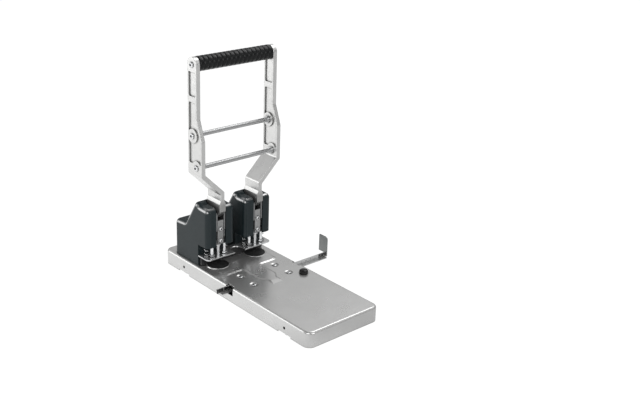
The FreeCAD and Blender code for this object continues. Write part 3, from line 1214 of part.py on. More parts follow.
def hub_bushes(x):
    """Two flanged bushes pressed into one hub from its two sides."""
    bushes = []
    flange_reach = FRAME_INNER - BODY_GAP
    spans = ((x, x + FOOT_BOSS_HALF_WIDTH, x + flange_reach), (x, x - FOOT_BOSS_HALF_WIDTH, x - flange_reach))
    bore = rod_x(PIVOT_SHAFT_DIAMETER + 2 * RUNNING_GAP, x - CLEAR, x + CLEAR, PIVOT_Y, PIVOT_HEIGHT)
    for middle, face, reach in spans:
        sleeve = rod_x(PIVOT_BUSH_DIAMETER, min(middle, face), max(middle, face), PIVOT_Y, PIVOT_HEIGHT)
        flange = rod_x(PIVOT_BUSH_FLANGE, min(face, reach), max(face, reach), PIVOT_Y, PIVOT_HEIGHT)
        bushes.append(fuse([sleeve, flange]).cut(bore))
    return group(bushes)


def crank_pin(x):
    reach = RAM_HALF_WIDTH - CRANK_PIN_INSET
    return rod_x(CRANK_PIN_DIAMETER, x - reach, x + reach, CRANK_Y, CRANK_HEIGHT)


def grip_core():
    core = rod_x(GRIP_CORE_DIAMETER, -ARM_INNER, ARM_INNER, BAIL_AXIS_Y, GRIP_HEIGHT)
    socket = rod_x(BAIL_BOLT_DIAMETER, ARM_INNER - BAIL_SOCKET_DEPTH, CLEAR, BAIL_AXIS_Y, GRIP_HEIGHT)
    return cut(core, both_sides(socket))


def grip_sleeve():
    """Rubber sleeve with rounded ribs and a groove between each two."""
    half_length = ARM_INNER - GRIP_END_GAP
    pitch = 2 * half_length / GRIP_RIBS
    radius = GRIP_DIAMETER / 2
    points = [(-half_length, radius - GRIP_GROOVE_DEPTH)]
    for rib in range(GRIP_RIBS):
        start = -half_length + rib * pitch
        points.append((start + GRIP_GROOVE_WIDTH / 2, radius))
        points.append((start + pitch - GRIP_GROOVE_WIDTH / 2, radius))
        points.append((start + pitch, radius - GRIP_GROOVE_DEPTH))
    corners = [(x, GRIP_HEIGHT + height) for x, height in points]
    corners.append((half_length, GRIP_HEIGHT + GRIP_CORE_DIAMETER / 2))
    corners.append((-half_length, GRIP_HEIGHT + GRIP_CORE_DIAMETER / 2))
    face = outline_face(corners, lambda a, b: Vector(a, BAIL_AXIS_Y, b))
    return face.revolve(Vector(0, BAIL_AXIS_Y, GRIP_HEIGHT), Vector(1, 0, 0), 360)


def cross_rod(y, z):
    """A round rod between the arms with a collar at each end."""
    rod = rod_x(ROD_DIAMETER, -ARM_INNER, ARM_INNER, y, z)
    collars = both_sides(rod_x(ROD_COLLAR_DIAMETER, ARM_INNER - ROD_COLLAR_LENGTH, ARM_INNER, y, z))
    sockets = both_sides(rod_x(BAIL_BOLT_DIAMETER, ARM_INNER - BAIL_SOCKET_DEPTH, ARM_INNER + 1, y, z))
    return cut(fuse([rod] + collars), sockets)


def bail_bolts(places):
    bolts = []
    for y, z in places:
        head = button_head(BAIL_BOLT_HEAD, BAIL_BOLT_HEAD_HEIGHT, Vector(ARM_OUTER, y, z), Vector(1, 0, 0))
        shank = rod_x(BAIL_BOLT_DIAMETER, ARM_INNER - BAIL_BOLT_LENGTH, ARM_OUTER, y, z)
        bolts.extend(both_sides(fuse([head, shank])))
    return group(bolts)


# ---------------------------------------------------------------- the whole punch
def head_pieces(side, x):
    return {
        "cutting_disc_" + side: cutting_disc(x),
        "head_frame_" + side: head_frame(x),
        "head_cover_" + side: head_cover(x),
        "guide_posts_" + side: guide_posts(x),
        "pivot_shaft_" + side: pivot_shaft(x),
        "return_springs_" + side: return_springs(x),
        "ram_" + side: ram(x),
        "link_bar_" + side: link_bar(x),
        "ram_bolts_" + side: ram_bolts(x),
        "ram_bushes_" + side: ram_bushes(x),
        "punch_" + side: punch(x),
        "hub_bushes_" + side: hub_bushes(x),
        "crank_pin_" + side: crank_pin(x),
    }


def base_pieces():
    return {
        "base_shell": base_shell(),
        "anvil_plate": anvil_plate(),
        "bottom_cover": bottom_cover(),
        "bottom_posts": bottom_posts(),
        "bottom_screws": bottom_screws(),
        "rubber_feet": rubber_feet(),
        "guide_channel": guide_channel(),
        "channel_screws": channel_screws(),
        "channel_nuts": channel_nuts(),
        "clamp_finger": clamp_finger(),
        "clamp_nut": clamp_nut(),
        "guide_rail": guide_rail(),
        "guide_knob": guide_knob(),
        "knob_screw": knob_screw(),
        "frame_bolts": frame_bolts(),
        "frame_nuts": frame_nuts(),
        "cover_screws": cover_screws(),
        "stripper_plate": stripper_plate(),
        "back_stop": back_stop(),
        "stop_screws": stop_screws(),
        "pivot_clips": pivot_clips(),
    }


def lever_pieces():
    arm, other_arm = both_sides(right_arm())
    places = bail_bolt_places()
    return {
        "arm_right": arm,
        "arm_left": other_arm,
        "grip_core": grip_core(),
        "grip_sleeve": grip_sleeve(),
        "rod_upper": cross_rod(BAIL_AXIS_Y, UPPER_ROD_HEIGHT),
        "rod_lower": cross_rod(LOWER_ROD_Y, LOWER_ROD_HEIGHT),
        "grip_bolts": bail_bolts(places[:1]),
        "rod_bolts": bail_bolts(places[1:]),
    }


def main():
    pieces = base_pieces()
    pieces.update(lever_pieces())
    for side, x in HEADS.items():
        pieces.update(head_pieces(side, x))
    os.makedirs("parts", exist_ok=True)
    for name, drawn in pieces.items():
        shape = drawn.translated(TO_ORIGIN)
        shape.exportStep("parts/" + name + ".step")
        print(name, "valid", shape.isValid(), "solids", len(shape.Solids), "volume", round(shape.Volume, 1))


main()
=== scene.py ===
"""Looks of a heavy-duty two-hole lever punch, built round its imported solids.

Places are written in millimetres from the point on the desk midway below the two punches, with X
to the right, Y to the rear and Z up. place() turns them into the frame's own metres.
"""
import math

import bmesh
import bpy
from mathutils import Matrix, Vector


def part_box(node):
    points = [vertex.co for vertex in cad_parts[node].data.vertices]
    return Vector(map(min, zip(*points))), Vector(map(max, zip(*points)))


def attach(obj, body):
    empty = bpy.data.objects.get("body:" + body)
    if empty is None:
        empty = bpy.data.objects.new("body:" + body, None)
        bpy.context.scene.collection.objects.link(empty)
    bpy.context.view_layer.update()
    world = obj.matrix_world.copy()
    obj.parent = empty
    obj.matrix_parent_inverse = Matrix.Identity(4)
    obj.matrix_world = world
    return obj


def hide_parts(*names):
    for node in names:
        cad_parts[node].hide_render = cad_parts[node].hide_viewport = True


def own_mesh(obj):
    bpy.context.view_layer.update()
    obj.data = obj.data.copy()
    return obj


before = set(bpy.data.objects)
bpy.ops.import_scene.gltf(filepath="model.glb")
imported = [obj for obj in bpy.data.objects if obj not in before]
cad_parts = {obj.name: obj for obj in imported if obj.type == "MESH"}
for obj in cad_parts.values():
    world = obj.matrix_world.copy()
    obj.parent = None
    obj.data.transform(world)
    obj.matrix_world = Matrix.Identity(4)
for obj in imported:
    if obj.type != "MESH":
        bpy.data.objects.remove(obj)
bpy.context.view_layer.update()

MM = 0.001
UP = Vector((0, 0, 1))
LEFT_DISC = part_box("cutting_disc_left")
RIGHT_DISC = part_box("cutting_disc_right")
MIDWAY = (LEFT_DISC[0] + LEFT_DISC[1] + RIGHT_DISC[0] + RIGHT_DISC[1]) / 4

# ------ sizes of the dressed pieces
HEADS = {"left": -40.0, "right": 40.0}
DISC_TOP = 28.0
PLATE_TOP = 46.0                # upper face of the stripper plate
POST_SIDESTEP = 12.9            # from a punch to each of its guide posts
POST_NUT_WIDTH = 8.0
RAM_FRONT = -7.2
RAM_WASHER_THICKNESS = 0.8
RAM_WASHER_WIDTH = 8.2
RAM_BOLT_WIDTH = 7.2
RAM_BOLT_HEIGHTS = (96.5, 75.0)
COVER_BACK = 88.34
COVER_SCREW_HEIGHT = 61.5
COVER_SCREW_WIDTH = 7.6

GRIP_LENGTH = 149.4
GRIP_RADIUS = 12.5
GRIP_RIBS = 17
GRIP_PADS_ROUND = 9
GRIP_GROOVE_DEPTH = 0.9
GRIP_GROOVE_WIDTH = 2.0
GRIP_SLIT_SHARE = 0.55          # width of the lengthwise slits beside that of the grooves
GRIP_SLIT_DEPTH = 0.4           # their depth beside that of the grooves
GRIP_AXIS = (11.79, 382.6)
ROD_AXES = ((11.79, 264.4), (0.94, 211.8))
ARM_OUTER = 82.7
BAIL_BOLT_WIDTH = 10.0
FEET_SHADE_BELOW = 140.0              # painted shade on the arms' feet fades out above this height
FEET_SHADE_GONE_ABOVE = 152.0

SPRING_HIGH = 90.4
SPRING_HEIGHT = SPRING_HIGH - PLATE_TOP
SPRING_RADIUS = 3.65
SPRING_WIRE = 1.3
SPRING_TURNS = 7.5
SPRING_SIDESTEP = 19.9
SPRING_Y = 6.0

DECK = 27.0
DIMPLE_FLOOR = DECK - 1.2
DECK_SCREW_WIDTH = 8.4
DIMPLES = ((-37.0, -59.5), (37.0, -59.5), (-37.5, -96.0), (37.5, -96.0))
BOTTOM_PLATE = 3.0
BOTTOM_SCREW_WIDTH = 7.0
BOTTOM_SCREWS = ((-53.0, -252.0), (53.0, -252.0), (-53.0, 96.54), (53.0, 96.54))
FOOT_ROWS = (52.04, -217.5)
FOOT_SIDESTEP = 58.5
FOOT_DIAMETER = 26.0
FOOT_THICKNESS = 3.0
WALL_SIDESTEP = 75.0
WALL_HOLE_HEIGHT = 13.0
HOLE_SHADE_PLUG_WIDTH = 4.8

RAIL_FACE_Y = -71.0
RAIL_FOOT = 15.2
RAIL_SHEET = 1.5
RAIL_TOP = 24.9
RAIL_RIGHT_END = 149.7
RAIL_LEFT_END = -96.4
BLADE_START = RAIL_RIGHT_END - 1.6
TICK_PITCH = 2.0
TICK_WIDTH = 0.3
TICK_THICKNESS = 0.06
NUMBER_HEIGHT = 3.0
FILM_THICKNESS = 0.12
ON_FILM = 0.14                  # how far print on the film stands before the rail's face
ON_RAIL = 0.02

KNOB_PLACE = (55.7, -113.7, 27.3)
KNOB_RADIUS = 7.5


def place(x, y, z):
    """A point of the frame, from millimetres beside, behind and above the middle of the punches."""
    return Vector((MIDWAY.x + x * MM, MIDWAY.y + y * MM, z * MM))


# ------ node helpers
def add(tree, kind, inputs=None, **settings):
    """Adds a node; an input is either set to a value or joined to another node's output."""
    node = tree.nodes.new(kind)
    for name, value in settings.items():
        setattr(node, name, value)
    for name, value in (inputs or {}).items():
        if isinstance(value, bpy.types.NodeSocket):
            tree.links.new(value, node.inputs[name])
        else:
            node.inputs[name].default_value = value
    return node


def maths(tree, operation, first, second=0.0, third=0.0):
    node = add(tree, "ShaderNodeMath", {0: first, 1: second, 2: third}, operation=operation)
    return node.outputs[0]


def ramp(tree, value, low, high, to_low=0.0, to_high=1.0, kind="LINEAR"):
    """Carries a value from one range over to another, and holds it at the ends."""
    inputs = {"Value": value, "From Min": low, "From Max": high,
              "To Min": to_low, "To Max": to_high}
    return add(tree, "ShaderNodeMapRange", inputs, clamp=True, interpolation_type=kind).outputs[0]


def axes_of(tree, vector):
    """The three parts of a vector."""
    return add(tree, "ShaderNodeSeparateXYZ", {0: vector}).outputs


PROBES = 6                      # rays by which a material feels for edges and crevices


class Finish:
    """A surface finish whose patterns are laid over the object's own coordinates."""

    def __init__(self, name, metallic=0.0, specular=0.5, edge_radius=0.5):
        self.material = bpy.data.materials.new(name)
        self.material.use_nodes = True
        self.tree = self.material.node_tree
        self.shader = self.tree.nodes["Principled BSDF"]
        self.set("Metallic", metallic)
        self.set("Specular IOR Level", specular)
        self.place = add(self.tree, "ShaderNodeTexCoord").outputs["Object"]
        bevel = add(self.tree, "ShaderNodeBevel", {"Radius": edge_radius * MM}, samples=PROBES)
        self.softened = bevel.outputs[0]
        self.normal = self.softened

    def set(self, name, value):
        self.shader.inputs[name].default_value = value

    def measured_from(self, centre):
        """The object's coordinates, counted from a centre."""
        return add(self.tree, "ShaderNodeVectorMath", {0: self.place, 1: centre},
                   operation="SUBTRACT").outputs[0]

    def noise(self, grain, detail=2.0, roughness=0.5, stretch=None, distortion=0.0):
        """Noise whose grain is about so many millimetres across."""
        where = self.place
        if stretch:
            where = add(self.tree, "ShaderNodeMapping",
                        {"Vector": where, "Scale": stretch}).outputs[0]
        settings = {"Vector": where, "Scale": 1 / (grain * MM), "Detail": detail,
                    "Roughness": roughness, "Distortion": distortion}
        return add(self.tree, "ShaderNodeTexNoise", settings).outputs[0]

    def spread(self, value, low=0.3, high=0.7, to_low=0.0, to_high=1.0):
        """A ramp over the middle of a noise's range, or over another span."""
        return ramp(self.tree, value, low, high, to_low, to_high)

    def product(self, first, second):
        return maths(self.tree, "MULTIPLY", first, second)

    def mixed(self, first, share, second, rest):
        return maths(self.tree, "ADD", self.product(first, share), self.product(second, rest))

    def blend(self, amount, first, second):
        """A colour between two others, each a plain colour or another blend."""
        node = add(self.tree, "ShaderNodeMix", {0: amount}, data_type="RGBA")
        for socket, colour in ((node.inputs[6], first), (node.inputs[7], second)):
            if isinstance(colour, bpy.types.NodeSocket):
                self.tree.links.new(colour, socket)
            else:
                socket.default_value = (*colour, 1.0)
        return node.outputs[2]

    def edges(self, low, high):
        """How near the surface is to an edge, from 0 on a flat to 1 on the edge."""
        flat = add(self.tree, "ShaderNodeNewGeometry").outputs["Normal"]
        agree = add(self.tree, "ShaderNodeVectorMath", {0: flat, 1: self.softened},
                    operation="DOT_PRODUCT")
        return self.spread(maths(self.tree, "SUBTRACT", 1.0, agree.outputs["Value"]), low, high)

    def rubbed(self, low, high, grain, thin, full, detail=4):
        """The edges, broken up by a noise as wear leaves them."""
        return self.product(self.edges(low, high),
                            self.spread(self.noise(grain, detail), thin, full))

    def rounded_top(self):
        """1 on the rounded edges along the top, and 0 on flats and on upright corners."""
        flat = add(self.tree, "ShaderNodeNewGeometry").outputs["Normal"]
        facing = add(self.tree, "ShaderNodeVectorMath", {0: flat}, operation="ABSOLUTE").outputs[0]
        sideways, _, upward = axes_of(self.tree, facing)
        depth = axes_of(self.tree, self.place)[1]
        ahead = self.spread(depth, place(0, 2, 0).y, place(0, 10, 0).y, 1.0, 0.0)
        low_side = self.product(self.spread(upward, 0.10, 0.32),
                                self.spread(upward, 0.45, 0.68, 1.0, 0.15))
        along_side = self.product(low_side, self.spread(sideways, 0.50, 0.70))
        along_front = self.product(self.spread(upward, 0.60, 0.82),
                                   self.spread(upward, 0.94, 0.99, 1.0, 0.0))
        return maths(self.tree, "MAXIMUM", along_side, self.product(along_front, ahead))

    def crevices(self, reach):
        """How closed in the surface is within so many millimetres, from 0 in the open to 1."""
        shelter = add(self.tree, "ShaderNodeAmbientOcclusion", {"Distance": reach * MM},
                      samples=PROBES)
        return self.spread(maths(self.tree, "SUBTRACT", 1.0, shelter.outputs["AO"]), 0.10, 0.50)

    def painted_crevice_shade(self, paint, shade, reach, amount):
        """The paint with painted shade in the crevices, darkest where the surface is most closed
        in.
        """
        return self.blend(self.product(self.crevices(reach), amount), paint, shade)

    def colour(self, value):
        self.tree.links.new(value, self.shader.inputs["Base Color"])

    def roughness(self, value, low, high):
        """Roughness between two limits, by a noise or a mix of noises."""
        spread = self.spread(value, to_low=low, to_high=high)
        self.tree.links.new(spread, self.shader.inputs["Roughness"])

    def relief(self, height, depth):
        """Adds bumps of a depth in millimetres on top of those laid so far."""
        inputs = {"Height": height, "Distance": depth * MM, "Strength": 1.0, "Normal": self.normal}
        self.normal = add(self.tree, "ShaderNodeBump", inputs).outputs[0]

    def done(self):
        self.tree.links.new(self.normal, self.shader.inputs["Normal"])
        return self.material


# ------ finishes
def base_paint():
    """Silver metallic enamel on the pressed base."""
    finish = Finish("base_paint", metallic=0.85, edge_radius=0.6)
    cloud = finish.noise(38, detail=3)
    flake = finish.noise(0.45, detail=1)
    rub = finish.rubbed(0.01, 0.3, 9, 0.35, 0.7)
    paint = finish.blend(finish.spread(cloud), (0.62, 0.62, 0.615), (0.66, 0.66, 0.655))
    sparkle = finish.blend(finish.spread(flake, 0.45, 0.75, 0.0, 0.12), paint, (0.74, 0.745, 0.745))
    worn = finish.blend(finish.product(rub, 0.6), sparkle, (0.80, 0.80, 0.79))
    # Painted shade in the crevices.
    finish.colour(finish.painted_crevice_shade(worn, (0.13, 0.13, 0.125), 3.5, 0.75))
    finish.roughness(finish.noise(30, detail=2), 0.27, 0.29)
    finish.relief(flake, 0.0012)
    finish.relief(finish.noise(9, detail=1), 0.004)
    return finish.done()


def arm_casting():
    """Tumbled die-cast alloy with a satin finish, painted shade on the feet by the heads that tones
    down the key lamp's glare there, and painted shade in its crevices.
    """
    finish = Finish("arm_casting", metallic=0.85, edge_radius=1.1)
    flow = finish.noise(16, detail=5, roughness=0.6, distortion=0.6)
    grain = finish.noise(0.6, detail=2)
    rub = finish.rubbed(0.01, 0.22, 7, 0.3, 0.65)
    alloy = finish.blend(finish.spread(flow, 0.3, 0.75), (0.66, 0.66, 0.655), (0.74, 0.74, 0.73))
    pitted = finish.blend(finish.spread(grain, 0.62, 0.8, 0.0, 0.3), alloy, (0.36, 0.36, 0.36))
    worn = finish.blend(finish.product(rub, 0.7), pitted, (0.88, 0.88, 0.87))
    # Painted shade low on the feet by the heads, which tones down the key lamp's glare on them.
    height = axes_of(finish.tree, finish.place)[2]
    feet_shade = finish.product(finish.spread(height, FEET_SHADE_BELOW * MM, FEET_SHADE_GONE_ABOVE * MM, 1.0, 0.0),
                          finish.spread(flow, 0.2, 0.6, 0.8, 1.0))
    feet_in_shade = finish.blend(feet_shade, worn, (0.40, 0.40, 0.395))
    # Painted shade in the crevices.
    finish.colour(finish.painted_crevice_shade(feet_in_shade, (0.08, 0.08, 0.078), 4.0, 0.9))
    finish.roughness(flow, 0.26, 0.34)
    finish.relief(grain, 0.0015)
    finish.relief(finish.noise(6, detail=2), 0.006)
    return finish.done()


def cover_moulding():
    """Charcoal plastic with a fine spark-eroded texture, lighter worn edges that are partly a
    painted sheen, and a glossier coat on its rounded top edges.
    """
    finish = Finish("cover_moulding", specular=0.26, edge_radius=0.8)
    cloud = finish.noise(45, detail=3)
    spark = finish.noise(0.55, detail=3, roughness=0.65)
    wear_and_sheen = finish.rubbed(0.01, 0.3, 12, 0.35, 0.65)
    resin = finish.blend(finish.spread(cloud), (0.012, 0.020, 0.0225), (0.016, 0.025, 0.028))
    # Lighter worn edges, which are partly a painted sheen along them.
    finish.colour(finish.blend(finish.product(wear_and_sheen, 0.5), resin, (0.036, 0.044, 0.047)))
    finish.roughness(finish.noise(11, detail=5, roughness=0.6), 0.30, 0.40)
    finish.relief(spark, 0.006)
    finish.relief(finish.noise(20, detail=1), 0.02)
    finish.set("Coat IOR", 4.0)
    finish.set("Coat Roughness", 0.24)
    finish.tree.links.new(finish.rounded_top(), finish.shader.inputs["Coat Weight"])
    return finish.done()


def turned_disc(name, centre):
    """Black moulded disc, turned in fine rings and scuffed by the punch round its centre."""
    finish = Finish(name, specular=0.3, edge_radius=0.3)
    spot = finish.measured_from(centre)
    wave = {"Vector": spot, "Scale": 330.0, "Distortion": 0.4, "Detail": 1.0}
    rings = add(finish.tree, "ShaderNodeTexWave", wave, wave_type="RINGS",
                rings_direction="Z").outputs["Fac"]
    apart = add(finish.tree, "ShaderNodeVectorMath", {0: spot}, operation="LENGTH").outputs["Value"]
    scuff = finish.product(finish.spread(apart, 0.004, 0.016, 1.0, 0.15),
                           finish.spread(finish.noise(2.4, detail=5, roughness=0.7), 0.42, 0.7))
    body = finish.blend(rings, (0.010, 0.011, 0.0115), (0.030, 0.031, 0.031))
    finish.colour(finish.blend(finish.product(scuff, 0.6), body, (0.10, 0.10, 0.098)))
    finish.roughness(finish.mixed(scuff, 0.4, rings, 0.3), 0.40, 0.58)
    finish.relief(rings, 0.03)
    finish.relief(finish.noise(0.5, detail=3), 0.01)
    return finish.done()


def patchy_black(name, specular, edge_radius, patch, shown, tones, rough, bump, depth):
    """Black rubber, plastic or film, paler and duller in patches.

    patch and bump give a noise's grain, detail and roughness.
    """
    finish = Finish(name, specular=specular, edge_radius=edge_radius)
    patches = finish.noise(*patch)
    finish.colour(finish.blend(finish.spread(patches, *shown), *tones))
    finish.roughness(patches, *rough)
    finish.relief(finish.noise(*bump), depth)
    return finish.done()


def brushed_steel(name, pale, dark, grain, rough):
    """Steel with a grain along one axis; the grain gives each axis's stretch."""
    finish = Finish(name, metallic=0.85, edge_radius=0.3)
    strokes = finish.noise(0.5, detail=4, roughness=0.7, stretch=grain)
    stain = finish.noise(12, detail=4, roughness=0.6)
    rub = finish.rubbed(0.02, 0.3, 5, 0.3, 0.6)
    steel = finish.blend(finish.spread(strokes), dark, pale)
    shaded = finish.blend(finish.spread(stain, 0.45, 0.75, 0.0, 0.35), steel, dark)
    worn = finish.blend(rub, shaded, tuple(min(1.0, 1.25 * part) for part in pale))
    # Painted shade in the crevices.
    finish.colour(finish.painted_crevice_shade(worn, tuple(0.1 * part for part in pale), 5.0, 0.85))
    finish.roughness(finish.mixed(strokes, 0.6, stain, 0.4), *rough)
    finish.relief(strokes, 0.008)
    return finish.done()


def rail_steel(grain):
    """Bright guide steel, with a darker blade at its end."""
    finish = Finish("rail_steel", metallic=0.85, edge_radius=0.3)
    strokes = finish.noise(0.5, detail=4, roughness=0.7, stretch=grain)
    stain = finish.noise(12, detail=4, roughness=0.6)
    along = axes_of(finish.tree, finish.place)[0]
    blade = finish.spread(along, place(BLADE_START - 0.4, 0, 0).x, place(BLADE_START, 0, 0).x)
    steel = finish.blend(finish.spread(strokes), (0.56, 0.565, 0.565), (0.64, 0.645, 0.645))
    shaded = finish.blend(finish.spread(stain, 0.45, 0.75, 0.0, 0.3), steel, (0.48, 0.485, 0.485))
    dark = finish.blend(finish.spread(stain), (0.22, 0.23, 0.23), (0.27, 0.28, 0.275))
    finish.colour(finish.blend(blade, shaded, dark))
    finish.roughness(finish.mixed(strokes, 0.6, stain, 0.4), 0.26, 0.38)
    finish.relief(strokes, 0.004)
    return finish.done()


def chrome_plate():
    """Bright plating, hazy in places, with painted shade in its crevices."""
    finish = Finish("chrome_plate", metallic=1.0, edge_radius=0.25)
    haze = finish.noise(2.5, detail=5, roughness=0.65)
    tarnish = finish.product(finish.spread(finish.noise(5, detail=4), 0.5, 0.75),
                             finish.spread(haze, 0.4, 0.7))
    plate = finish.blend(finish.product(tarnish, 0.5), (0.74, 0.75, 0.76), (0.46, 0.46, 0.45))
    # Painted shade in the crevices, which darkens the screws' sockets.
    finish.colour(finish.painted_crevice_shade(plate, (0.03, 0.03, 0.03), 3.0, 0.9))
    finish.roughness(haze, 0.06, 0.14)
    finish.relief(finish.noise(1.2, detail=2), 0.003)
    return finish.done()


def ground_steel(name, axis_stretch):
    """Ground bar with fine rings round its length."""
    finish = Finish(name, metallic=1.0, edge_radius=0.3)
    rings = finish.noise(0.35, detail=3, roughness=0.7, stretch=axis_stretch)
    haze = finish.noise(9, detail=4, roughness=0.6)
    steel = finish.blend(finish.spread(rings), (0.52, 0.525, 0.53), (0.58, 0.585, 0.59))
    finish.colour(finish.blend(finish.spread(haze, 0.5, 0.8, 0.0, 0.3), steel, (0.44, 0.44, 0.44)))
    finish.roughness(finish.mixed(rings, 0.5, haze, 0.5), 0.18, 0.26)
    finish.relief(rings, 0.0008)
    return finish.done()


def zinc_plate():
    """Zinc-plated sheet with its pale crystal bloom."""
    finish = Finish("zinc_plate", metallic=0.8, edge_radius=0.3)
    crystals = add(finish.tree, "ShaderNodeTexVoronoi", {"Vector": finish.place, "Scale": 190.0},
                   feature="F1").outputs["Color"]
    tone = add(finish.tree, "ShaderNodeSeparateColor", {0: crystals}).outputs[0]
    stain = finish.noise(18, detail=5, roughness=0.6)
    sheet = finish.blend(finish.product(tone, 0.6), (0.42, 0.43, 0.44), (0.56, 0.57, 0.575))
    finish.colour(finish.blend(finish.spread(stain, 0.5, 0.8, 0.0, 0.4), sheet,
                               (0.34, 0.345, 0.34)))
    finish.roughness(finish.mixed(tone, 0.3, stain, 0.7), 0.32, 0.50)
    finish.relief(finish.noise(1.0, detail=3), 0.01)
    return finish.done()


def black_zinc():
    """Dark passivated zinc on the nuts, screws and bolts."""
    finish = Finish("black_zinc", metallic=0.9, edge_radius=0.3)
    film = finish.noise(2.2, detail=5, roughness=0.65)
    rub = finish.rubbed(0.02, 0.3, 1.5, 0.3, 0.6)
    skin = finish.blend(finish.spread(film), (0.14, 0.14, 0.145), (0.25, 0.25, 0.25))
    finish.colour(finish.blend(finish.product(rub, 0.8), skin, (0.55, 0.55, 0.54)))
    finish.roughness(film, 0.28, 0.42)
    finish.relief(film, 0.006)
    return finish.done()


def frame_iron():
    """Black stoved paint over a cast frame; on the head frames its darkness also stands in for the
    shade under the stripper plate.
    """
    finish = Finish("frame_iron", specular=0.45, edge_radius=0.6)
    cast = finish.noise(1.1, detail=4, roughness=0.6)
    chips = finish.rubbed(0.03, 0.3, 2.2, 0.5, 0.62, detail=5)
    cloud = finish.spread(finish.noise(20, detail=3))
    paint = finish.blend(cloud, (0.014, 0.014, 0.015), (0.026, 0.026, 0.027))
    finish.colour(finish.blend(finish.product(chips, 0.7), paint, (0.22, 0.21, 0.20)))
    finish.roughness(cast, 0.34, 0.50)
    finish.relief(cast, 0.05)
    return finish.done()


def sintered_bronze():
    """Porous bronze, darkened by oil."""
    finish = Finish("sintered_bronze", metallic=0.9, edge_radius=0.25)
    pores = finish.noise(0.35, detail=3)
    oil = finish.noise(4, detail=4)
    bronze = finish.blend(finish.spread(pores, 0.35, 0.7), (0.30, 0.20, 0.10), (0.52, 0.38, 0.20))
    finish.colour(finish.blend(finish.spread(oil, 0.45, 0.8, 0.0, 0.5), bronze, (0.20, 0.13, 0.07)))
    finish.roughness(oil, 0.28, 0.42)
    finish.relief(pores, 0.01)
    return finish.done()


def scale_ink(name, pale, worn):
    """Printing ink, rubbed thin in places."""
    finish = Finish(name, specular=0.4, edge_radius=0.05)
    rubbed = finish.noise(0.9, detail=5, roughness=0.7)
    finish.colour(finish.blend(finish.spread(rubbed, 0.52, 0.75), pale, worn))
    finish.roughness(rubbed, 0.40, 0.55)
    finish.relief(rubbed, 0.003)
    return finish.done()


def finishes():
    """Every finish, by the name that WORN_BY and the pieces use."""
    along_x = (0.02, 1.0, 1.0)
    along_z = (1.0, 1.0, 0.03)
    return {
        "base_paint": base_paint(),
        "arm_casting": arm_casting(),
        "cover_moulding": cover_moulding(),
        "disc_left": turned_disc("disc_face_left", place(HEADS["left"], 0, DISC_TOP)),
        "disc_right": turned_disc("disc_face_right", place(HEADS["right"], 0, DISC_TOP)),
        "grip_rubber": patchy_black(
            "grip_rubber", 0.24, 0.3, patch=(6, 5, 0.6), shown=(0.35, 0.75), rough=(0.24, 0.34),
            tones=((0.004, 0.0045, 0.005), (0.009, 0.010, 0.010)), bump=(0.7, 3), depth=0.012),
        "foot_rubber": patchy_black(
            "foot_rubber", 0.15, 0.3, patch=(3, 6, 0.7), shown=(0.4, 0.8), rough=(0.62, 0.78),
            tones=((0.008, 0.008, 0.008), (0.024, 0.023, 0.022)), bump=(0.6, 3), depth=0.03),
        "knob_plastic": patchy_black(
            "knob_plastic", 0.28, 0.6, patch=(3, 5, 0.6), shown=(0.4, 0.75), rough=(0.12, 0.20),
            tones=((0.004, 0.004, 0.0045), (0.008, 0.008, 0.0085)), bump=(0.4, 2), depth=0.005),
        "plate_steel": brushed_steel("plate_steel", (0.70, 0.705, 0.71), (0.56, 0.565, 0.57),
                                     along_x, (0.08, 0.16)),
        "rail_steel": rail_steel(along_x),
        "bar_steel": brushed_steel("bar_steel", (0.46, 0.465, 0.465), (0.34, 0.345, 0.345), along_z,
                                   (0.24, 0.38)),
        "ram_steel": brushed_steel("ram_steel", (0.36, 0.365, 0.37), (0.24, 0.245, 0.25), along_z,
                                   (0.24, 0.40)),
        "chrome_plate": chrome_plate(),
        "rod_steel": ground_steel("rod_steel", (1.0, 0.02, 0.02)),
        "upright_steel": ground_steel("upright_steel", (0.02, 0.02, 1.0)),
        "spring_wire": ground_steel("spring_wire", (0.3, 0.3, 0.3)),
        "zinc_plate": zinc_plate(),
        "black_zinc": black_zinc(),
        "frame_iron": frame_iron(),
        "sintered_bronze": sintered_bronze(),
        "scale_film": patchy_black(
            "scale_film", 0.5, 0.1, patch=(4, 5, 0.6), shown=(0.4, 0.75), rough=(0.22, 0.34),
            tones=((0.008, 0.008, 0.008), (0.015, 0.015, 0.016)), bump=(1.5, 2), depth=0.006),
        "pale_ink": scale_ink("pale_ink", (0.72, 0.72, 0.70), (0.30, 0.30, 0.29)),
        "dark_ink": scale_ink("dark_ink", (0.035, 0.035, 0.035), (0.20, 0.20, 0.20)),
    }


def both(*stems):
    """The left and the right node of each pair."""
    return tuple(stem + side for stem in stems for side in ("_left", "_right"))


WORN_BY = {
    "base_paint": ("base_shell",),
    "arm_casting": both("arm"),
    "cover_moulding": both("head_cover"),
    "disc_left": ("cutting_disc_left",),
    "disc_right": ("cutting_disc_right",),
    "plate_steel": ("stripper_plate",),
    "rail_steel": ("guide_rail",),
    "bar_steel": both("link_bar"),
    "ram_steel": both("ram"),
    "chrome_plate": (both("pivot_shaft", "crank_pin", "guide_posts")
                     + ("pivot_clips", "stop_screws")),
    "rod_steel": ("rod_upper", "rod_lower", "grip_core"),
    "upright_steel": both("punch"),
    "zinc_plate": ("bottom_cover", "anvil_plate", "guide_channel", "clamp_finger", "bottom_posts"),
    "black_zinc": ("frame_bolts", "frame_nuts", "channel_nuts", "clamp_nut", "knob_screw"),
    # The head frames' black stands partly for the shade under the stripper plate.
    "frame_iron": both("head_frame") + ("back_stop",),
    "sintered_bronze": both("ram_bushes", "hub_bushes"),
}


def finish_solids(made):
    """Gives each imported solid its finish."""
    for finish, nodes in WORN_BY.items():
        for node in nodes:
            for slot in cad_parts[node].material_slots:
                slot.material = made[finish]


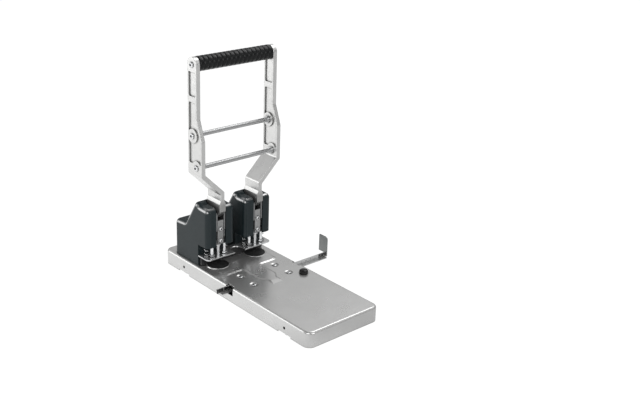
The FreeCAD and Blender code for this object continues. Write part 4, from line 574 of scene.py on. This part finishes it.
# ------ shape helpers
def in_scene(name, data):
    """A new object with this data, linked into the scene."""
    laid = bpy.data.objects.new(name, data)
    bpy.context.scene.collection.objects.link(laid)
    return laid


def evaluated_mesh(carrier):
    """The plain mesh that an object comes to; the object goes."""
    bpy.context.view_layer.update()
    ready = carrier.evaluated_get(bpy.context.evaluated_depsgraph_get())
    mesh = bpy.data.meshes.new_from_object(ready)
    carrier.modifiers.clear()
    bpy.data.objects.remove(carrier)
    return mesh


def closed_mesh(name, shape):
    """A mesh from a closed bmesh, with its faces outward."""
    bmesh.ops.recalc_face_normals(shape, faces=shape.faces)
    mesh = bpy.data.meshes.new(name)
    shape.to_mesh(mesh)
    shape.free()
    return mesh


def finished_object(name, mesh, body, replaced=()):
    """Lays a mesh into the scene as one piece that rides on a body."""
    piece = in_scene(name, mesh)
    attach(piece, body)
    if replaced:
        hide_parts(*replaced)
    return piece


SHARP_FROM = 35                 # degrees between two faces


def hexagon_ring(half_width):
    """A hexagon by its angle, with half its width across the flats."""
    sector = math.pi / 3
    return lambda angle: half_width / math.cos((angle + sector / 2) % sector - sector / 2)


def cross_ring(half_length, half_width):
    """A cross slot by its angle."""
    def reach(angle):
        along, across = abs(math.cos(angle)) + 1e-6, abs(math.sin(angle)) + 1e-6
        level = min(half_length / along, half_width / across)
        upright = min(half_width / along, half_length / across)
        return max(level, upright)
    return reach


def fluted_ring(radius, flutes, depth):
    """A circle with shallow hollows in it, by its angle."""
    return lambda angle: radius - depth * (0.5 - 0.5 * math.cos(angle * flutes)) ** 2


def ring_stack(name, rings, steps):
    """A closed mesh through rings, each a radius or a reach by its angle, and a height."""
    shape = bmesh.new()
    loops = []
    for reach, height in rings:
        loop = []
        for step in range(steps):
            angle = 2 * math.pi * step / steps
            radius = reach(angle) if callable(reach) else reach
            corner = (radius * math.cos(angle), radius * math.sin(angle), height)
            loop.append(shape.verts.new(corner))
        loops.append(loop)
    for lower, upper in zip(loops, loops[1:]):
        for step in range(steps):
            ahead = (step + 1) % steps
            shape.faces.new((lower[step], lower[ahead], upper[ahead], upper[step]))
    for loop, height in ((loops[0][::-1], rings[0][1]), (loops[-1], rings[-1][1])):
        hub = shape.verts.new((0, 0, height))
        for step in range(steps):
            shape.faces.new((loop[step], loop[(step + 1) % steps], hub))
    for face in shape.faces:
        face.smooth = True
    mesh = closed_mesh(name, shape)
    mesh.set_sharp_from_angle(angle=math.radians(SHARP_FROM))
    return mesh


class Growth:
    """A geometry tree with named sizes, which is grown into a plain mesh."""

    def __init__(self, name):
        self.tree = bpy.data.node_groups.new(name, "GeometryNodeTree")
        for way in ("OUTPUT", "INPUT"):
            self.tree.interface.new_socket("Geometry", in_out=way, socket_type="NodeSocketGeometry")
        self.values = {}
        self.entry = self.tree.nodes.new("NodeGroupInput")

    def size(self, name, value, kind="NodeSocketFloat"):
        socket = self.tree.interface.new_socket(name, in_out="INPUT", socket_type=kind)
        self.values[socket.identifier] = value
        return self.entry.outputs[name]

    def node(self, kind, inputs=None, **settings):
        return add(self.tree, kind, inputs, **settings)

    def maths(self, operation, first, second=0.0, third=0.0):
        return maths(self.tree, operation, first, second, third)

    def grow(self, geometry, material, start=None):
        """Ends the tree, evaluates it on the start mesh and gives the mesh that comes out."""
        realized = self.node("GeometryNodeRealizeInstances", {0: geometry}).outputs[0]
        painted = self.node("GeometryNodeSetMaterial", {"Geometry": realized, "Material": material})
        exit_node = self.tree.nodes.new("NodeGroupOutput")
        self.tree.links.new(painted.outputs[0], exit_node.inputs[0])
        carrier = in_scene(self.tree.name, start or bpy.data.meshes.new(self.tree.name))
        modifier = carrier.modifiers.new("growth", "NODES")
        modifier.node_group = self.tree
        for identifier, value in self.values.items():
            modifier[identifier] = value
        return evaluated_mesh(carrier)


def repeated(name, unit, width, spots, material, body, replaced=()):
    """Copies of a unit mesh, each at a spot, facing along its axis, as one piece on a body."""
    growth = Growth(name)
    scale = growth.size("Width", width * MM)
    unit_object = in_scene(name + "_unit", unit)
    chosen = growth.size("Unit", unit_object, "NodeSocketObject")
    points = bpy.data.meshes.new(name + "_spots")
    points.from_pydata([spot for spot, facing, spin in spots], [], [])
    turns = points.attributes.new("turn", "FLOAT_VECTOR", "POINT")
    for index, (spot, facing, spin) in enumerate(spots):
        spun = facing.to_track_quat("Z", "Y").to_matrix() @ Matrix.Rotation(spin, 3, "Z")
        turns.data[index].vector = spun.to_euler()
    info = growth.node("GeometryNodeObjectInfo", {"Object": chosen})
    turn = growth.node("GeometryNodeInputNamedAttribute", {"Name": "turn"},
                       data_type="FLOAT_VECTOR")
    copies = growth.node("GeometryNodeInstanceOnPoints", {
        "Points": growth.entry.outputs["Geometry"], "Instance": info.outputs["Geometry"],
        "Rotation": turn.outputs["Attribute"], "Scale": scale})
    grown = growth.grow(copies.outputs[0], material, points)
    bpy.data.objects.remove(unit_object)
    finished_object(name, grown, body, replaced)


# ------ lever
def grip_sleeve(made):
    """Rubber sleeve whose ribs are parted lengthwise into rounded pads."""
    growth = Growth("grip_sleeve")
    length = growth.size("Length", GRIP_LENGTH * MM)
    radius = growth.size("Radius", GRIP_RADIUS * MM)
    ribs = growth.size("Ribs", float(GRIP_RIBS))
    pads = growth.size("Pads round", float(GRIP_PADS_ROUND))
    depth = growth.size("Groove depth", GRIP_GROOVE_DEPTH * MM)
    width = growth.size("Groove width", GRIP_GROOVE_WIDTH * MM)
    tube = growth.node("GeometryNodeMeshCylinder", {
        "Vertices": GRIP_PADS_ROUND * 10, "Side Segments": GRIP_RIBS * 8, "Fill Segments": 1,
        "Radius": radius, "Depth": length})
    x, y, z = axes_of(growth.tree, growth.node("GeometryNodeInputPosition").outputs[0])
    from_end = growth.maths("ADD", z, growth.maths("DIVIDE", length, 2.0))
    rib_pitch = growth.maths("DIVIDE", length, ribs)
    off_groove = growth.maths("PINGPONG", from_end, growth.maths("DIVIDE", rib_pitch, 2.0))
    around = growth.maths("MULTIPLY", growth.maths("ARCTAN2", y, x), radius)
    pad_pitch = growth.maths("DIVIDE", growth.maths("MULTIPLY", radius, 2 * math.pi), pads)
    counted_up = growth.maths("ADD", around, growth.maths("MULTIPLY", pad_pitch, 50.0))
    off_slit = growth.maths("PINGPONG", counted_up, growth.maths("DIVIDE", pad_pitch, 2.0))
    groove = ramp(growth.tree, off_groove, 0.0, width, 1.0, 0.0, "SMOOTHERSTEP")
    slit_width = growth.maths("MULTIPLY", width, GRIP_SLIT_SHARE)
    slit = ramp(growth.tree, off_slit, 0.0, slit_width, GRIP_SLIT_DEPTH, 0.0, "SMOOTHERSTEP")
    sunk = growth.maths("MULTIPLY", growth.maths("MAXIMUM", groove, slit), depth)
    share = growth.maths("DIVIDE", growth.maths("SUBTRACT", radius, sunk), radius)
    narrowed = growth.node("ShaderNodeCombineXYZ", {
        0: growth.maths("MULTIPLY", x, share), 1: growth.maths("MULTIPLY", y, share), 2: z})
    shaped = growth.node("GeometryNodeSetPosition", {
        "Geometry": tube.outputs["Mesh"], "Position": narrowed.outputs[0]})
    smooth = growth.node("GeometryNodeSetShadeSmooth", {
        "Geometry": shaped.outputs[0], "Selection": tube.outputs["Side"]})
    laid = growth.node("GeometryNodeTransform", {
        "Geometry": smooth.outputs[0], "Translation": place(0, *GRIP_AXIS),
        "Rotation": (0.0, math.pi / 2, 0.0)})
    mesh = growth.grow(laid.outputs[0], made["grip_rubber"])
    finished_object("ribbed_grip", mesh, "lever", ("grip_sleeve",))


def socket_head():
    """Button head one unit wide with a hexagon socket, standing on its washer face."""
    rings = [(0.47, 0.0), (0.50, 0.015), (0.50, 0.06), (0.485, 0.13), (0.45, 0.19), (0.40, 0.245),
             (0.34, 0.285), (0.29, 0.302), (0.275, 0.305), (hexagon_ring(0.225), 0.300),
             (hexagon_ring(0.21), 0.285), (hexagon_ring(0.21), 0.12), (0.10, 0.09)]
    return ring_stack("socket_head", rings, 48)


def crossed_head():
    """Pan head one unit wide with a cross slot."""
    rings = [(0.46, 0.0), (0.50, 0.02), (0.50, 0.07), (0.48, 0.13), (0.43, 0.18), (0.36, 0.215),
             (0.30, 0.225), (cross_ring(0.26, 0.06), 0.226), (cross_ring(0.24, 0.05), 0.205),
             (cross_ring(0.17, 0.04), 0.10)]
    return ring_stack("crossed_head", rings, 56)


def plain_washer():
    """Flat washer one unit wide, closed where the screw's head hides its bore."""
    rings = [(0.2, 0.0), (0.49, 0.0), (0.50, 0.012), (0.50, 0.085), (0.485, 0.098), (0.2, 0.098)]
    return ring_stack("washer", rings, 48)


def bail_bolts(made):
    """Socket screws that hold the grip and the rods between the arms."""
    for name, axes, node in (("grip_screws", (GRIP_AXIS,), "grip_bolts"),
                             ("rod_screws", ROD_AXES, "rod_bolts")):
        spots = []
        for index, (y, z) in enumerate(axes):
            for side in (-1, 1):
                spin = 0.4 + index * 0.9 + side * 0.3
                spots.append((place(side * ARM_OUTER, y, z), Vector((side, 0, 0)), spin))
        repeated(name, socket_head(), BAIL_BOLT_WIDTH, spots, made["chrome_plate"], "lever",
                 (node,))


# ------ heads
def return_springs(made, side):
    """Two round-wire springs with closed ends, between the stripper plate and the ram's cups."""
    growth = Growth("spring_coils_" + side)
    height = growth.size("Height", SPRING_HEIGHT * MM)
    radius = growth.size("Coil radius", SPRING_RADIUS * MM)
    wire = growth.size("Wire", SPRING_WIRE * MM)
    turns = growth.size("Turns", SPRING_TURNS)
    coil = growth.node("GeometryNodeCurveSpiral", {
        "Resolution": 26, "Rotations": turns, "Start Radius": radius, "End Radius": radius,
        "Height": height})
    along = growth.node("GeometryNodeSplineParameter").outputs["Factor"]
    closed = growth.maths("DIVIDE", 1.0, turns)
    open_rise = growth.maths("SUBTRACT", height, growth.maths("MULTIPLY", wire, 3.0))
    opened = growth.maths("SUBTRACT", 1.0, closed)
    foot = ramp(growth.tree, along, 0.0, closed, 0.0, wire)
    body = ramp(growth.tree, along, closed, opened, 0.0, open_rise)
    crown = ramp(growth.tree, along, opened, 1.0, 0.0, wire)
    rise = growth.maths("ADD", growth.maths("ADD", foot, body), crown)
    lifted = growth.maths("ADD", rise, growth.maths("DIVIDE", wire, 2.0))
    x, y, _ = axes_of(growth.tree, growth.node("GeometryNodeInputPosition").outputs[0])
    placed = growth.node("ShaderNodeCombineXYZ", {0: x, 1: y, 2: lifted})
    wound = growth.node("GeometryNodeSetPosition", {
        "Geometry": coil.outputs[0], "Position": placed.outputs[0]})
    section = growth.node("GeometryNodeCurvePrimitiveCircle", {
        "Resolution": 10, "Radius": growth.maths("DIVIDE", wire, 2.0)})
    drawn = growth.node("GeometryNodeCurveToMesh", {
        "Curve": wound.outputs[0], "Profile Curve": section.outputs["Curve"], "Fill Caps": True})
    pair = growth.node("GeometryNodeJoinGeometry")
    for offset in (-SPRING_SIDESTEP, SPRING_SIDESTEP):
        stand = place(HEADS[side] + offset, SPRING_Y, PLATE_TOP)
        moved = growth.node("GeometryNodeTransform", {
            "Geometry": drawn.outputs[0], "Translation": stand})
        growth.tree.links.new(moved.outputs[0], pair.inputs[0])
    smooth = growth.node("GeometryNodeSetShadeSmooth", {"Geometry": pair.outputs[0]})
    mesh = growth.grow(smooth.outputs[0], made["spring_wire"])
    piece = finished_object("spring_coils_" + side, mesh, "base",
                            ("return_springs_" + side,))
    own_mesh(piece)


def ram_screws(made, side):
    """Socket screws on washers that clamp the link bar to the ram."""
    forward = Vector((0, -1, 0))
    heads, washers = [], []
    for height, spin in zip(RAM_BOLT_HEIGHTS, (0.5, 0.1)):
        heads.append((place(HEADS[side], RAM_FRONT - RAM_WASHER_THICKNESS, height), forward, spin))
        washers.append((place(HEADS[side], RAM_FRONT, height), forward, 0.0))
    repeated("ram_screws_" + side, socket_head(), RAM_BOLT_WIDTH, heads, made["chrome_plate"],
             "ram_" + side, ("ram_bolts_" + side,))
    repeated("ram_washers_" + side, plain_washer(), RAM_WASHER_WIDTH, washers,
             made["chrome_plate"], "ram_" + side)


def post_nuts(made):
    """Washer and hexagon nut at the foot of each guide post, on the stripper plate."""
    flats, chamfer = hexagon_ring(0.5), hexagon_ring(0.485)
    rings = [(0.38, 0.0), (0.6, 0.0), (0.606, 0.012), (0.606, 0.09), (0.59, 0.102), (0.46, 0.104),
             (chamfer, 0.128), (flats, 0.15), (flats, 0.4), (chamfer, 0.424), (0.46, 0.448),
             (0.4, 0.45), (0.38, 0.43)]
    spots = [(place(centre + side * POST_SIDESTEP, 0, PLATE_TOP), UP, 0.35 + 0.4 * side)
             for centre in HEADS.values() for side in (-1, 1)]
    repeated("post_nuts", ring_stack("post_nut", rings, 48), POST_NUT_WIDTH, spots,
             made["chrome_plate"], "base")


def wall_plugs(made):
    """Small black domed plugs in the side walls' holes, which stand in for the shade inside the
    holes.
    """
    rings = [(0.30, -0.20), (0.38, -0.18), (0.38, 0.0), (0.50, 0.0), (0.50, 0.03), (0.42, 0.075),
             (0.25, 0.10), (0.08, 0.11)]
    spots = [(place(side * WALL_SIDESTEP, y, WALL_HOLE_HEIGHT), Vector((side, 0, 0)), 0.0)
             for y in FOOT_ROWS for side in (-1, 1)]
    repeated("wall_plugs", ring_stack("wall_plug", rings, 32), HOLE_SHADE_PLUG_WIDTH, spots,
             made["foot_rubber"], "base")


def cover_screws(made):
    """Crossed screws in the back of each head cover."""
    spots = [(place(x, COVER_BACK, COVER_SCREW_HEIGHT), Vector((0, 1, 0)), 0.3 + x * 0.02)
             for x in HEADS.values()]
    repeated("cover_screw_heads", crossed_head(), COVER_SCREW_WIDTH, spots, made["black_zinc"],
             "base", ("cover_screws",))


# ------ base
def deck_screws(made):
    """Four crossed screws that hold the guide's channel, one in each dimple of the deck."""
    turns = (0.2, 1.1, 0.7, 1.4)
    spots = [(place(x, y, DIMPLE_FLOOR), UP, turn)
             for (x, y), turn in zip(DIMPLES, turns)]
    repeated("deck_screws", crossed_head(), DECK_SCREW_WIDTH, spots, made["chrome_plate"], "base",
             ("channel_screws",))


def bottom_screws(made):
    """Crossed screws that hold the bottom plate."""
    spots = [(place(x, y, BOTTOM_PLATE), -UP, 0.3 * index)
             for index, (x, y) in enumerate(BOTTOM_SCREWS)]
    repeated("bottom_screw_heads", crossed_head(), BOTTOM_SCREW_WIDTH, spots, made["black_zinc"],
             "base", ("bottom_screws",))


def rubber_feet(made):
    """Round pads with a bevelled edge, a ring groove and a sunk centre."""
    rings = [(0.08, 0.70), (0.13, 0.72), (0.15, 0.98), (0.17, 1.0), (0.30, 1.0), (0.31, 0.9),
             (0.345, 0.9), (0.355, 1.0), (0.477, 1.0), (0.493, 0.93), (0.5, 0.8), (0.5, 0.0)]
    thickness = FOOT_THICKNESS / FOOT_DIAMETER
    rings = [(radius, (1 - share) * thickness) for radius, share in rings]
    mesh = ring_stack("foot_pad", rings, 48)
    spots = [(place(side * FOOT_SIDESTEP, y, 0), UP, 0.0)
             for y in FOOT_ROWS for side in (-1, 1)]
    repeated("foot_pads", mesh, FOOT_DIAMETER, spots, made["foot_rubber"], "base",
             ("rubber_feet",))


# ------ paper guide
def lock_knob(made):
    """Domed knob with shallow flutes round its skirt."""
    radius = KNOB_RADIUS
    rings = [(radius * 0.90, 0.0), (radius * 0.97, 0.15), (fluted_ring(radius, 24, 0.20), 0.6),
             (fluted_ring(radius, 24, 0.28), 1.6), (fluted_ring(radius, 24, 0.28), 3.0),
             (fluted_ring(radius * 0.99, 24, 0.20), 3.9),
             (fluted_ring(radius * 0.95, 24, 0.10), 4.7), (radius * 0.88, 5.35),
             (radius * 0.77, 5.85), (radius * 0.62, 6.2), (radius * 0.45, 6.42),
             (radius * 0.25, 6.55), (radius * 0.10, 6.6)]
    mesh = ring_stack("domed_knob", rings, 144)
    mesh.transform(Matrix.Translation(place(*KNOB_PLACE)) @ Matrix.Scale(MM, 4))
    mesh.materials.append(made["knob_plastic"])
    finished_object("domed_knob", mesh, "lock_knob", ("guide_knob",))


def film_patch(name, x0, x1, z0, z1, made):
    """A thin strip of printed film with rounded corners on the guide's upright face."""
    corner = 0.8
    outline = []
    left, right, low, high = x0 + corner, x1 - corner, z0 + corner, z1 - corner
    for x, z, start in ((right, high, 0), (left, high, 90), (left, low, 180), (right, low, 270)):
        for step in range(5):
            angle = math.radians(start + step * 22.5)
            outline.append((x + corner * math.cos(angle), z + corner * math.sin(angle)))
    shape = bmesh.new()
    back = [shape.verts.new(place(x, RAIL_FACE_Y, z)) for x, z in outline]
    front = [shape.verts.new(place(x, RAIL_FACE_Y - FILM_THICKNESS, z)) for x, z in outline]
    shape.faces.new(front)
    shape.faces.new(back[::-1])
    for index in range(len(outline)):
        ahead = (index + 1) % len(outline)
        shape.faces.new((back[index], back[ahead], front[ahead], front[index]))
    mesh = closed_mesh(name, shape)
    mesh.materials.append(made["scale_film"])
    finished_object(name, mesh, "paper_guide")


def scale_ticks(name, first, last, low, tall, ink, proud):
    """Printed ticks along the guide; each fifth one is longer."""
    growth = Growth(name)
    gap = growth.size("Pitch", TICK_PITCH * MM)
    thick = growth.size("Line width", TICK_WIDTH * MM)
    height = growth.size("Height", tall * MM)
    count = int(round((last - first) / TICK_PITCH)) + 1
    step = growth.node("ShaderNodeCombineXYZ", {0: gap})
    row = growth.node("GeometryNodeMeshLine", {
        "Count": count, "Start Location": place(first, RAIL_FACE_Y - proud, low),
        "Offset": step.outputs[0]}, mode="OFFSET")
    number = growth.node("GeometryNodeInputIndex").outputs[0]
    is_long = growth.maths("LESS_THAN", growth.maths("MODULO", number, 5.0), 0.5)
    stretch = growth.maths("MULTIPLY_ADD", is_long, 0.9, 1.0)
    size = growth.node("ShaderNodeCombineXYZ", {0: thick, 1: TICK_THICKNESS * MM, 2: height})
    bar = growth.node("GeometryNodeMeshCube", {"Size": size.outputs[0]})
    half = growth.node("ShaderNodeCombineXYZ", {2: growth.maths("DIVIDE", height, 2.0)})
    stood = growth.node("GeometryNodeTransform", {
        "Geometry": bar.outputs[0], "Translation": half.outputs[0]})
    scale = growth.node("ShaderNodeCombineXYZ", {0: 1.0, 1: 1.0, 2: stretch})
    marks = growth.node("GeometryNodeInstanceOnPoints", {
        "Points": row.outputs[0], "Instance": stood.outputs[0], "Scale": scale.outputs[0]})
    mesh = growth.grow(marks.outputs[0], ink)
    finished_object(name, mesh, "paper_guide")


def scale_number(name, text, x, z, ink, proud):
    """A printed number on the guide's upright face."""
    curve = bpy.data.curves.new(name, "FONT")
    curve.body = text
    curve.size = NUMBER_HEIGHT * MM
    curve.extrude = TICK_THICKNESS / 2 * MM
    curve.align_x = "CENTER"
    mesh = evaluated_mesh(in_scene(name + "_text", curve))
    upright = Matrix.Rotation(math.radians(90), 4, "X")
    mesh.transform(Matrix.Translation(place(x, RAIL_FACE_Y - proud, z)) @ upright)
    mesh.materials.clear()
    mesh.materials.append(ink)
    finished_object(name, mesh, "paper_guide")


def guide_scale(made):
    """The guide's two printed ends, the left one partly painted shade, and the ticks and numbers
    between them and the base.
    """
    low, high = RAIL_FOOT + RAIL_SHEET + 0.3, RAIL_TOP - 0.3
    pale, dark = made["pale_ink"], made["dark_ink"]
    film_patch("scale_film_right", 128.5, RAIL_RIGHT_END - 2.2, low, high, made)
    # The left strip stands partly for print and partly for the shade inside the wall's opening.
    film_patch("scale_film_left", RAIL_LEFT_END + 1.2, -64.0, low, high, made)
    for side, ticks, label, label_x in (("right", (131.0, 145.0), "12", 134.0),
                                        ("left", (-92.0, -68.0), "8", -81.0)):
        scale_ticks("film_ticks_" + side, *ticks, low + 0.6, 1.6, pale, ON_FILM)
        scale_number("film_number_" + side, label, label_x, low + 4.2, pale, ON_FILM)
    scale_ticks("rail_ticks", 79.0, 125.0, low + 0.4, 1.4, dark, ON_RAIL)
    for label, x in (("3", 89.0), ("6", 99.0), ("9", 109.0)):
        scale_number("rail_number_" + label, label, x, low + 4.0, dark, ON_RAIL)


# ------ surroundings
FLOOR_GLOW = 1.13               # what the camera sees, before the floor's own share is mixed in
FLOOR_SHARE_SEEN = 0.85
FLOOR_SHARE_MIRRORED = 0.80
FLOOR_REACH = 12.0


def ray_kinds(tree):
    """Whether a ray comes from the camera, and whether it comes by way of metal or glass."""
    rays = add(tree, "ShaderNodeLightPath").outputs
    mirrored = maths(tree, "MAXIMUM", rays["Is Glossy Ray"], rays["Is Transmission Ray"])
    return rays["Is Camera Ray"], mirrored


def floor_finish():
    """Pale studio floor that keeps the shadow and reads as white to the camera; in metal it shows
    painted light and shade, brighter towards the left rear and dimmer towards the front right.
    """
    finish = Finish("studio_floor", specular=0.1, edge_radius=0.1)
    grain = finish.noise(700, detail=2)
    finish.colour(finish.blend(finish.spread(grain), (0.80, 0.80, 0.80), (0.83, 0.83, 0.83)))
    finish.roughness(grain, 0.8, 0.9)
    tree = finish.tree
    seen, mirrored = ray_kinds(tree)
    white = maths(tree, "MAXIMUM", maths(tree, "MULTIPLY", seen, FLOOR_SHARE_SEEN),
                  maths(tree, "MULTIPLY", mirrored, FLOOR_SHARE_MIRRORED))
    # Painted light and shade for what metal reflects: the floor glows brighter towards the left
    # rear, by the key lamp, and dimmer towards the front right, where the punch would shade it.
    x, y, _ = axes_of(tree, finish.place)
    side = maths(tree, "SUBTRACT", y, x)
    pale = ramp(tree, side, -0.25, 0.10, 0.58, 1.18, "SMOOTHSTEP")
    strength = add(tree, "ShaderNodeMix", {0: mirrored, 2: FLOOR_GLOW, 3: pale}, data_type="FLOAT")
    glow = add(tree, "ShaderNodeEmission", {"Color": (1, 1, 1, 1), "Strength": strength.outputs[0]})
    mixed = add(tree, "ShaderNodeMixShader", {
        0: white, 1: finish.shader.outputs[0], 2: glow.outputs[0]})
    tree.links.new(mixed.outputs[0], tree.nodes["Material Output"].inputs["Surface"])
    return finish.done()


def floor():
    """A wide flat floor under the punch."""
    mesh = bpy.data.meshes.new("studio_floor")
    corners = [(FLOOR_REACH * x, FLOOR_REACH * y, 0)
               for x, y in ((-1, -1), (1, -1), (1, 1), (-1, 1))]
    mesh.from_pydata(corners, [], [(0, 1, 2, 3)])
    mesh.materials.append(floor_finish())
    in_scene("studio_floor", mesh)


def sky():
    """Backdrop that is white behind the punch and shades off overhead for what metal reflects."""
    world = bpy.data.worlds.new("studio_sky")
    bpy.context.scene.world = world
    world.use_nodes = True
    tree = world.node_tree
    seen, mirrored = ray_kinds(tree)
    height = axes_of(tree, add(tree, "ShaderNodeTexCoord").outputs["Generated"])[2]
    near = ramp(tree, height, 0.24, 0.52, 0.22, 0.74, "SMOOTHSTEP")
    over = ramp(tree, height, 0.52, 0.85, 1.0, 0.35, "SMOOTHSTEP")
    shade = maths(tree, "MULTIPLY", near, over)
    unlit = maths(tree, "MULTIPLY_ADD", seen, 0.50, 0.50)
    strength = add(tree, "ShaderNodeMix", {0: mirrored, 2: unlit, 3: shade}, data_type="FLOAT")
    background = tree.nodes["Background"]
    background.inputs["Color"].default_value = (1, 1, 1, 1)
    tree.links.new(strength.outputs[0], background.inputs["Strength"])


def lamp(name, stand, aim, width, height, power):
    """A soft panel that stands at one place and is turned to another."""
    data = bpy.data.lights.new(name, "AREA")
    data.shape = "RECTANGLE"
    data.size, data.size_y = width, height
    data.energy = power
    light = in_scene(name, data)
    light.location = stand
    light.rotation_euler = (Vector(aim) - Vector(stand)).to_track_quat("-Z", "Y").to_euler()


def lamps():
    """Four soft panels round the middle of the punch, by width, height and power in watts."""
    aim = (-0.03, 0.0, 0.14)
    lamp("key_panel", (-1.20, 1.30, 0.56), aim, 1.1, 1.0, 6.2)
    lamp("top_panel", (0.75, 0.16, 1.22), aim, 0.8, 0.8, 4.8)
    lamp("side_panel", (-1.5, -0.9, 1.1), aim, 1.0, 1.0, 8.0)
    lamp("front_panel", (0.2, -1.7, 0.8), aim, 1.0, 0.8, 6.5)


def camera():
    """Stands to the front left and looks a little down on the punch."""
    data = bpy.data.cameras.new("camera")
    data.sensor_width = 36.0
    data.lens = 53.68
    data.shift_x = 0.0758
    data.shift_y = -0.06
    azimuth, tilt, roll = -0.6963, 0.3406, 0.0188
    level = Vector((-math.sin(azimuth), math.cos(azimuth), 0))
    ahead = level * math.cos(tilt) - Vector((0, 0, math.sin(tilt)))
    right = Vector((math.cos(azimuth), math.sin(azimuth), 0))
    up = right.cross(ahead)
    turned_right = right * math.cos(roll) + up * math.sin(roll)
    turned_up = up * math.cos(roll) - right * math.sin(roll)
    viewer = in_scene("camera", data)
    viewer.rotation_euler = Matrix((turned_right, turned_up, -ahead)).transposed().to_euler()
    viewer.location = place(-925.086, -1196.5985, 743.1543)
    bpy.context.scene.camera = viewer


def main():
    bpy.context.scene.view_settings.view_transform = "Standard"
    camera()
    sky()
    lamps()
    floor()
    made = finishes()
    finish_solids(made)
    grip_sleeve(made)
    bail_bolts(made)
    for side in HEADS:
        return_springs(made, side)
        ram_screws(made, side)
    post_nuts(made)
    wall_plugs(made)
    cover_screws(made)
    deck_screws(made)
    bottom_screws(made)
    rubber_feet(made)
    lock_knob(made)
    guide_scale(made)


main()
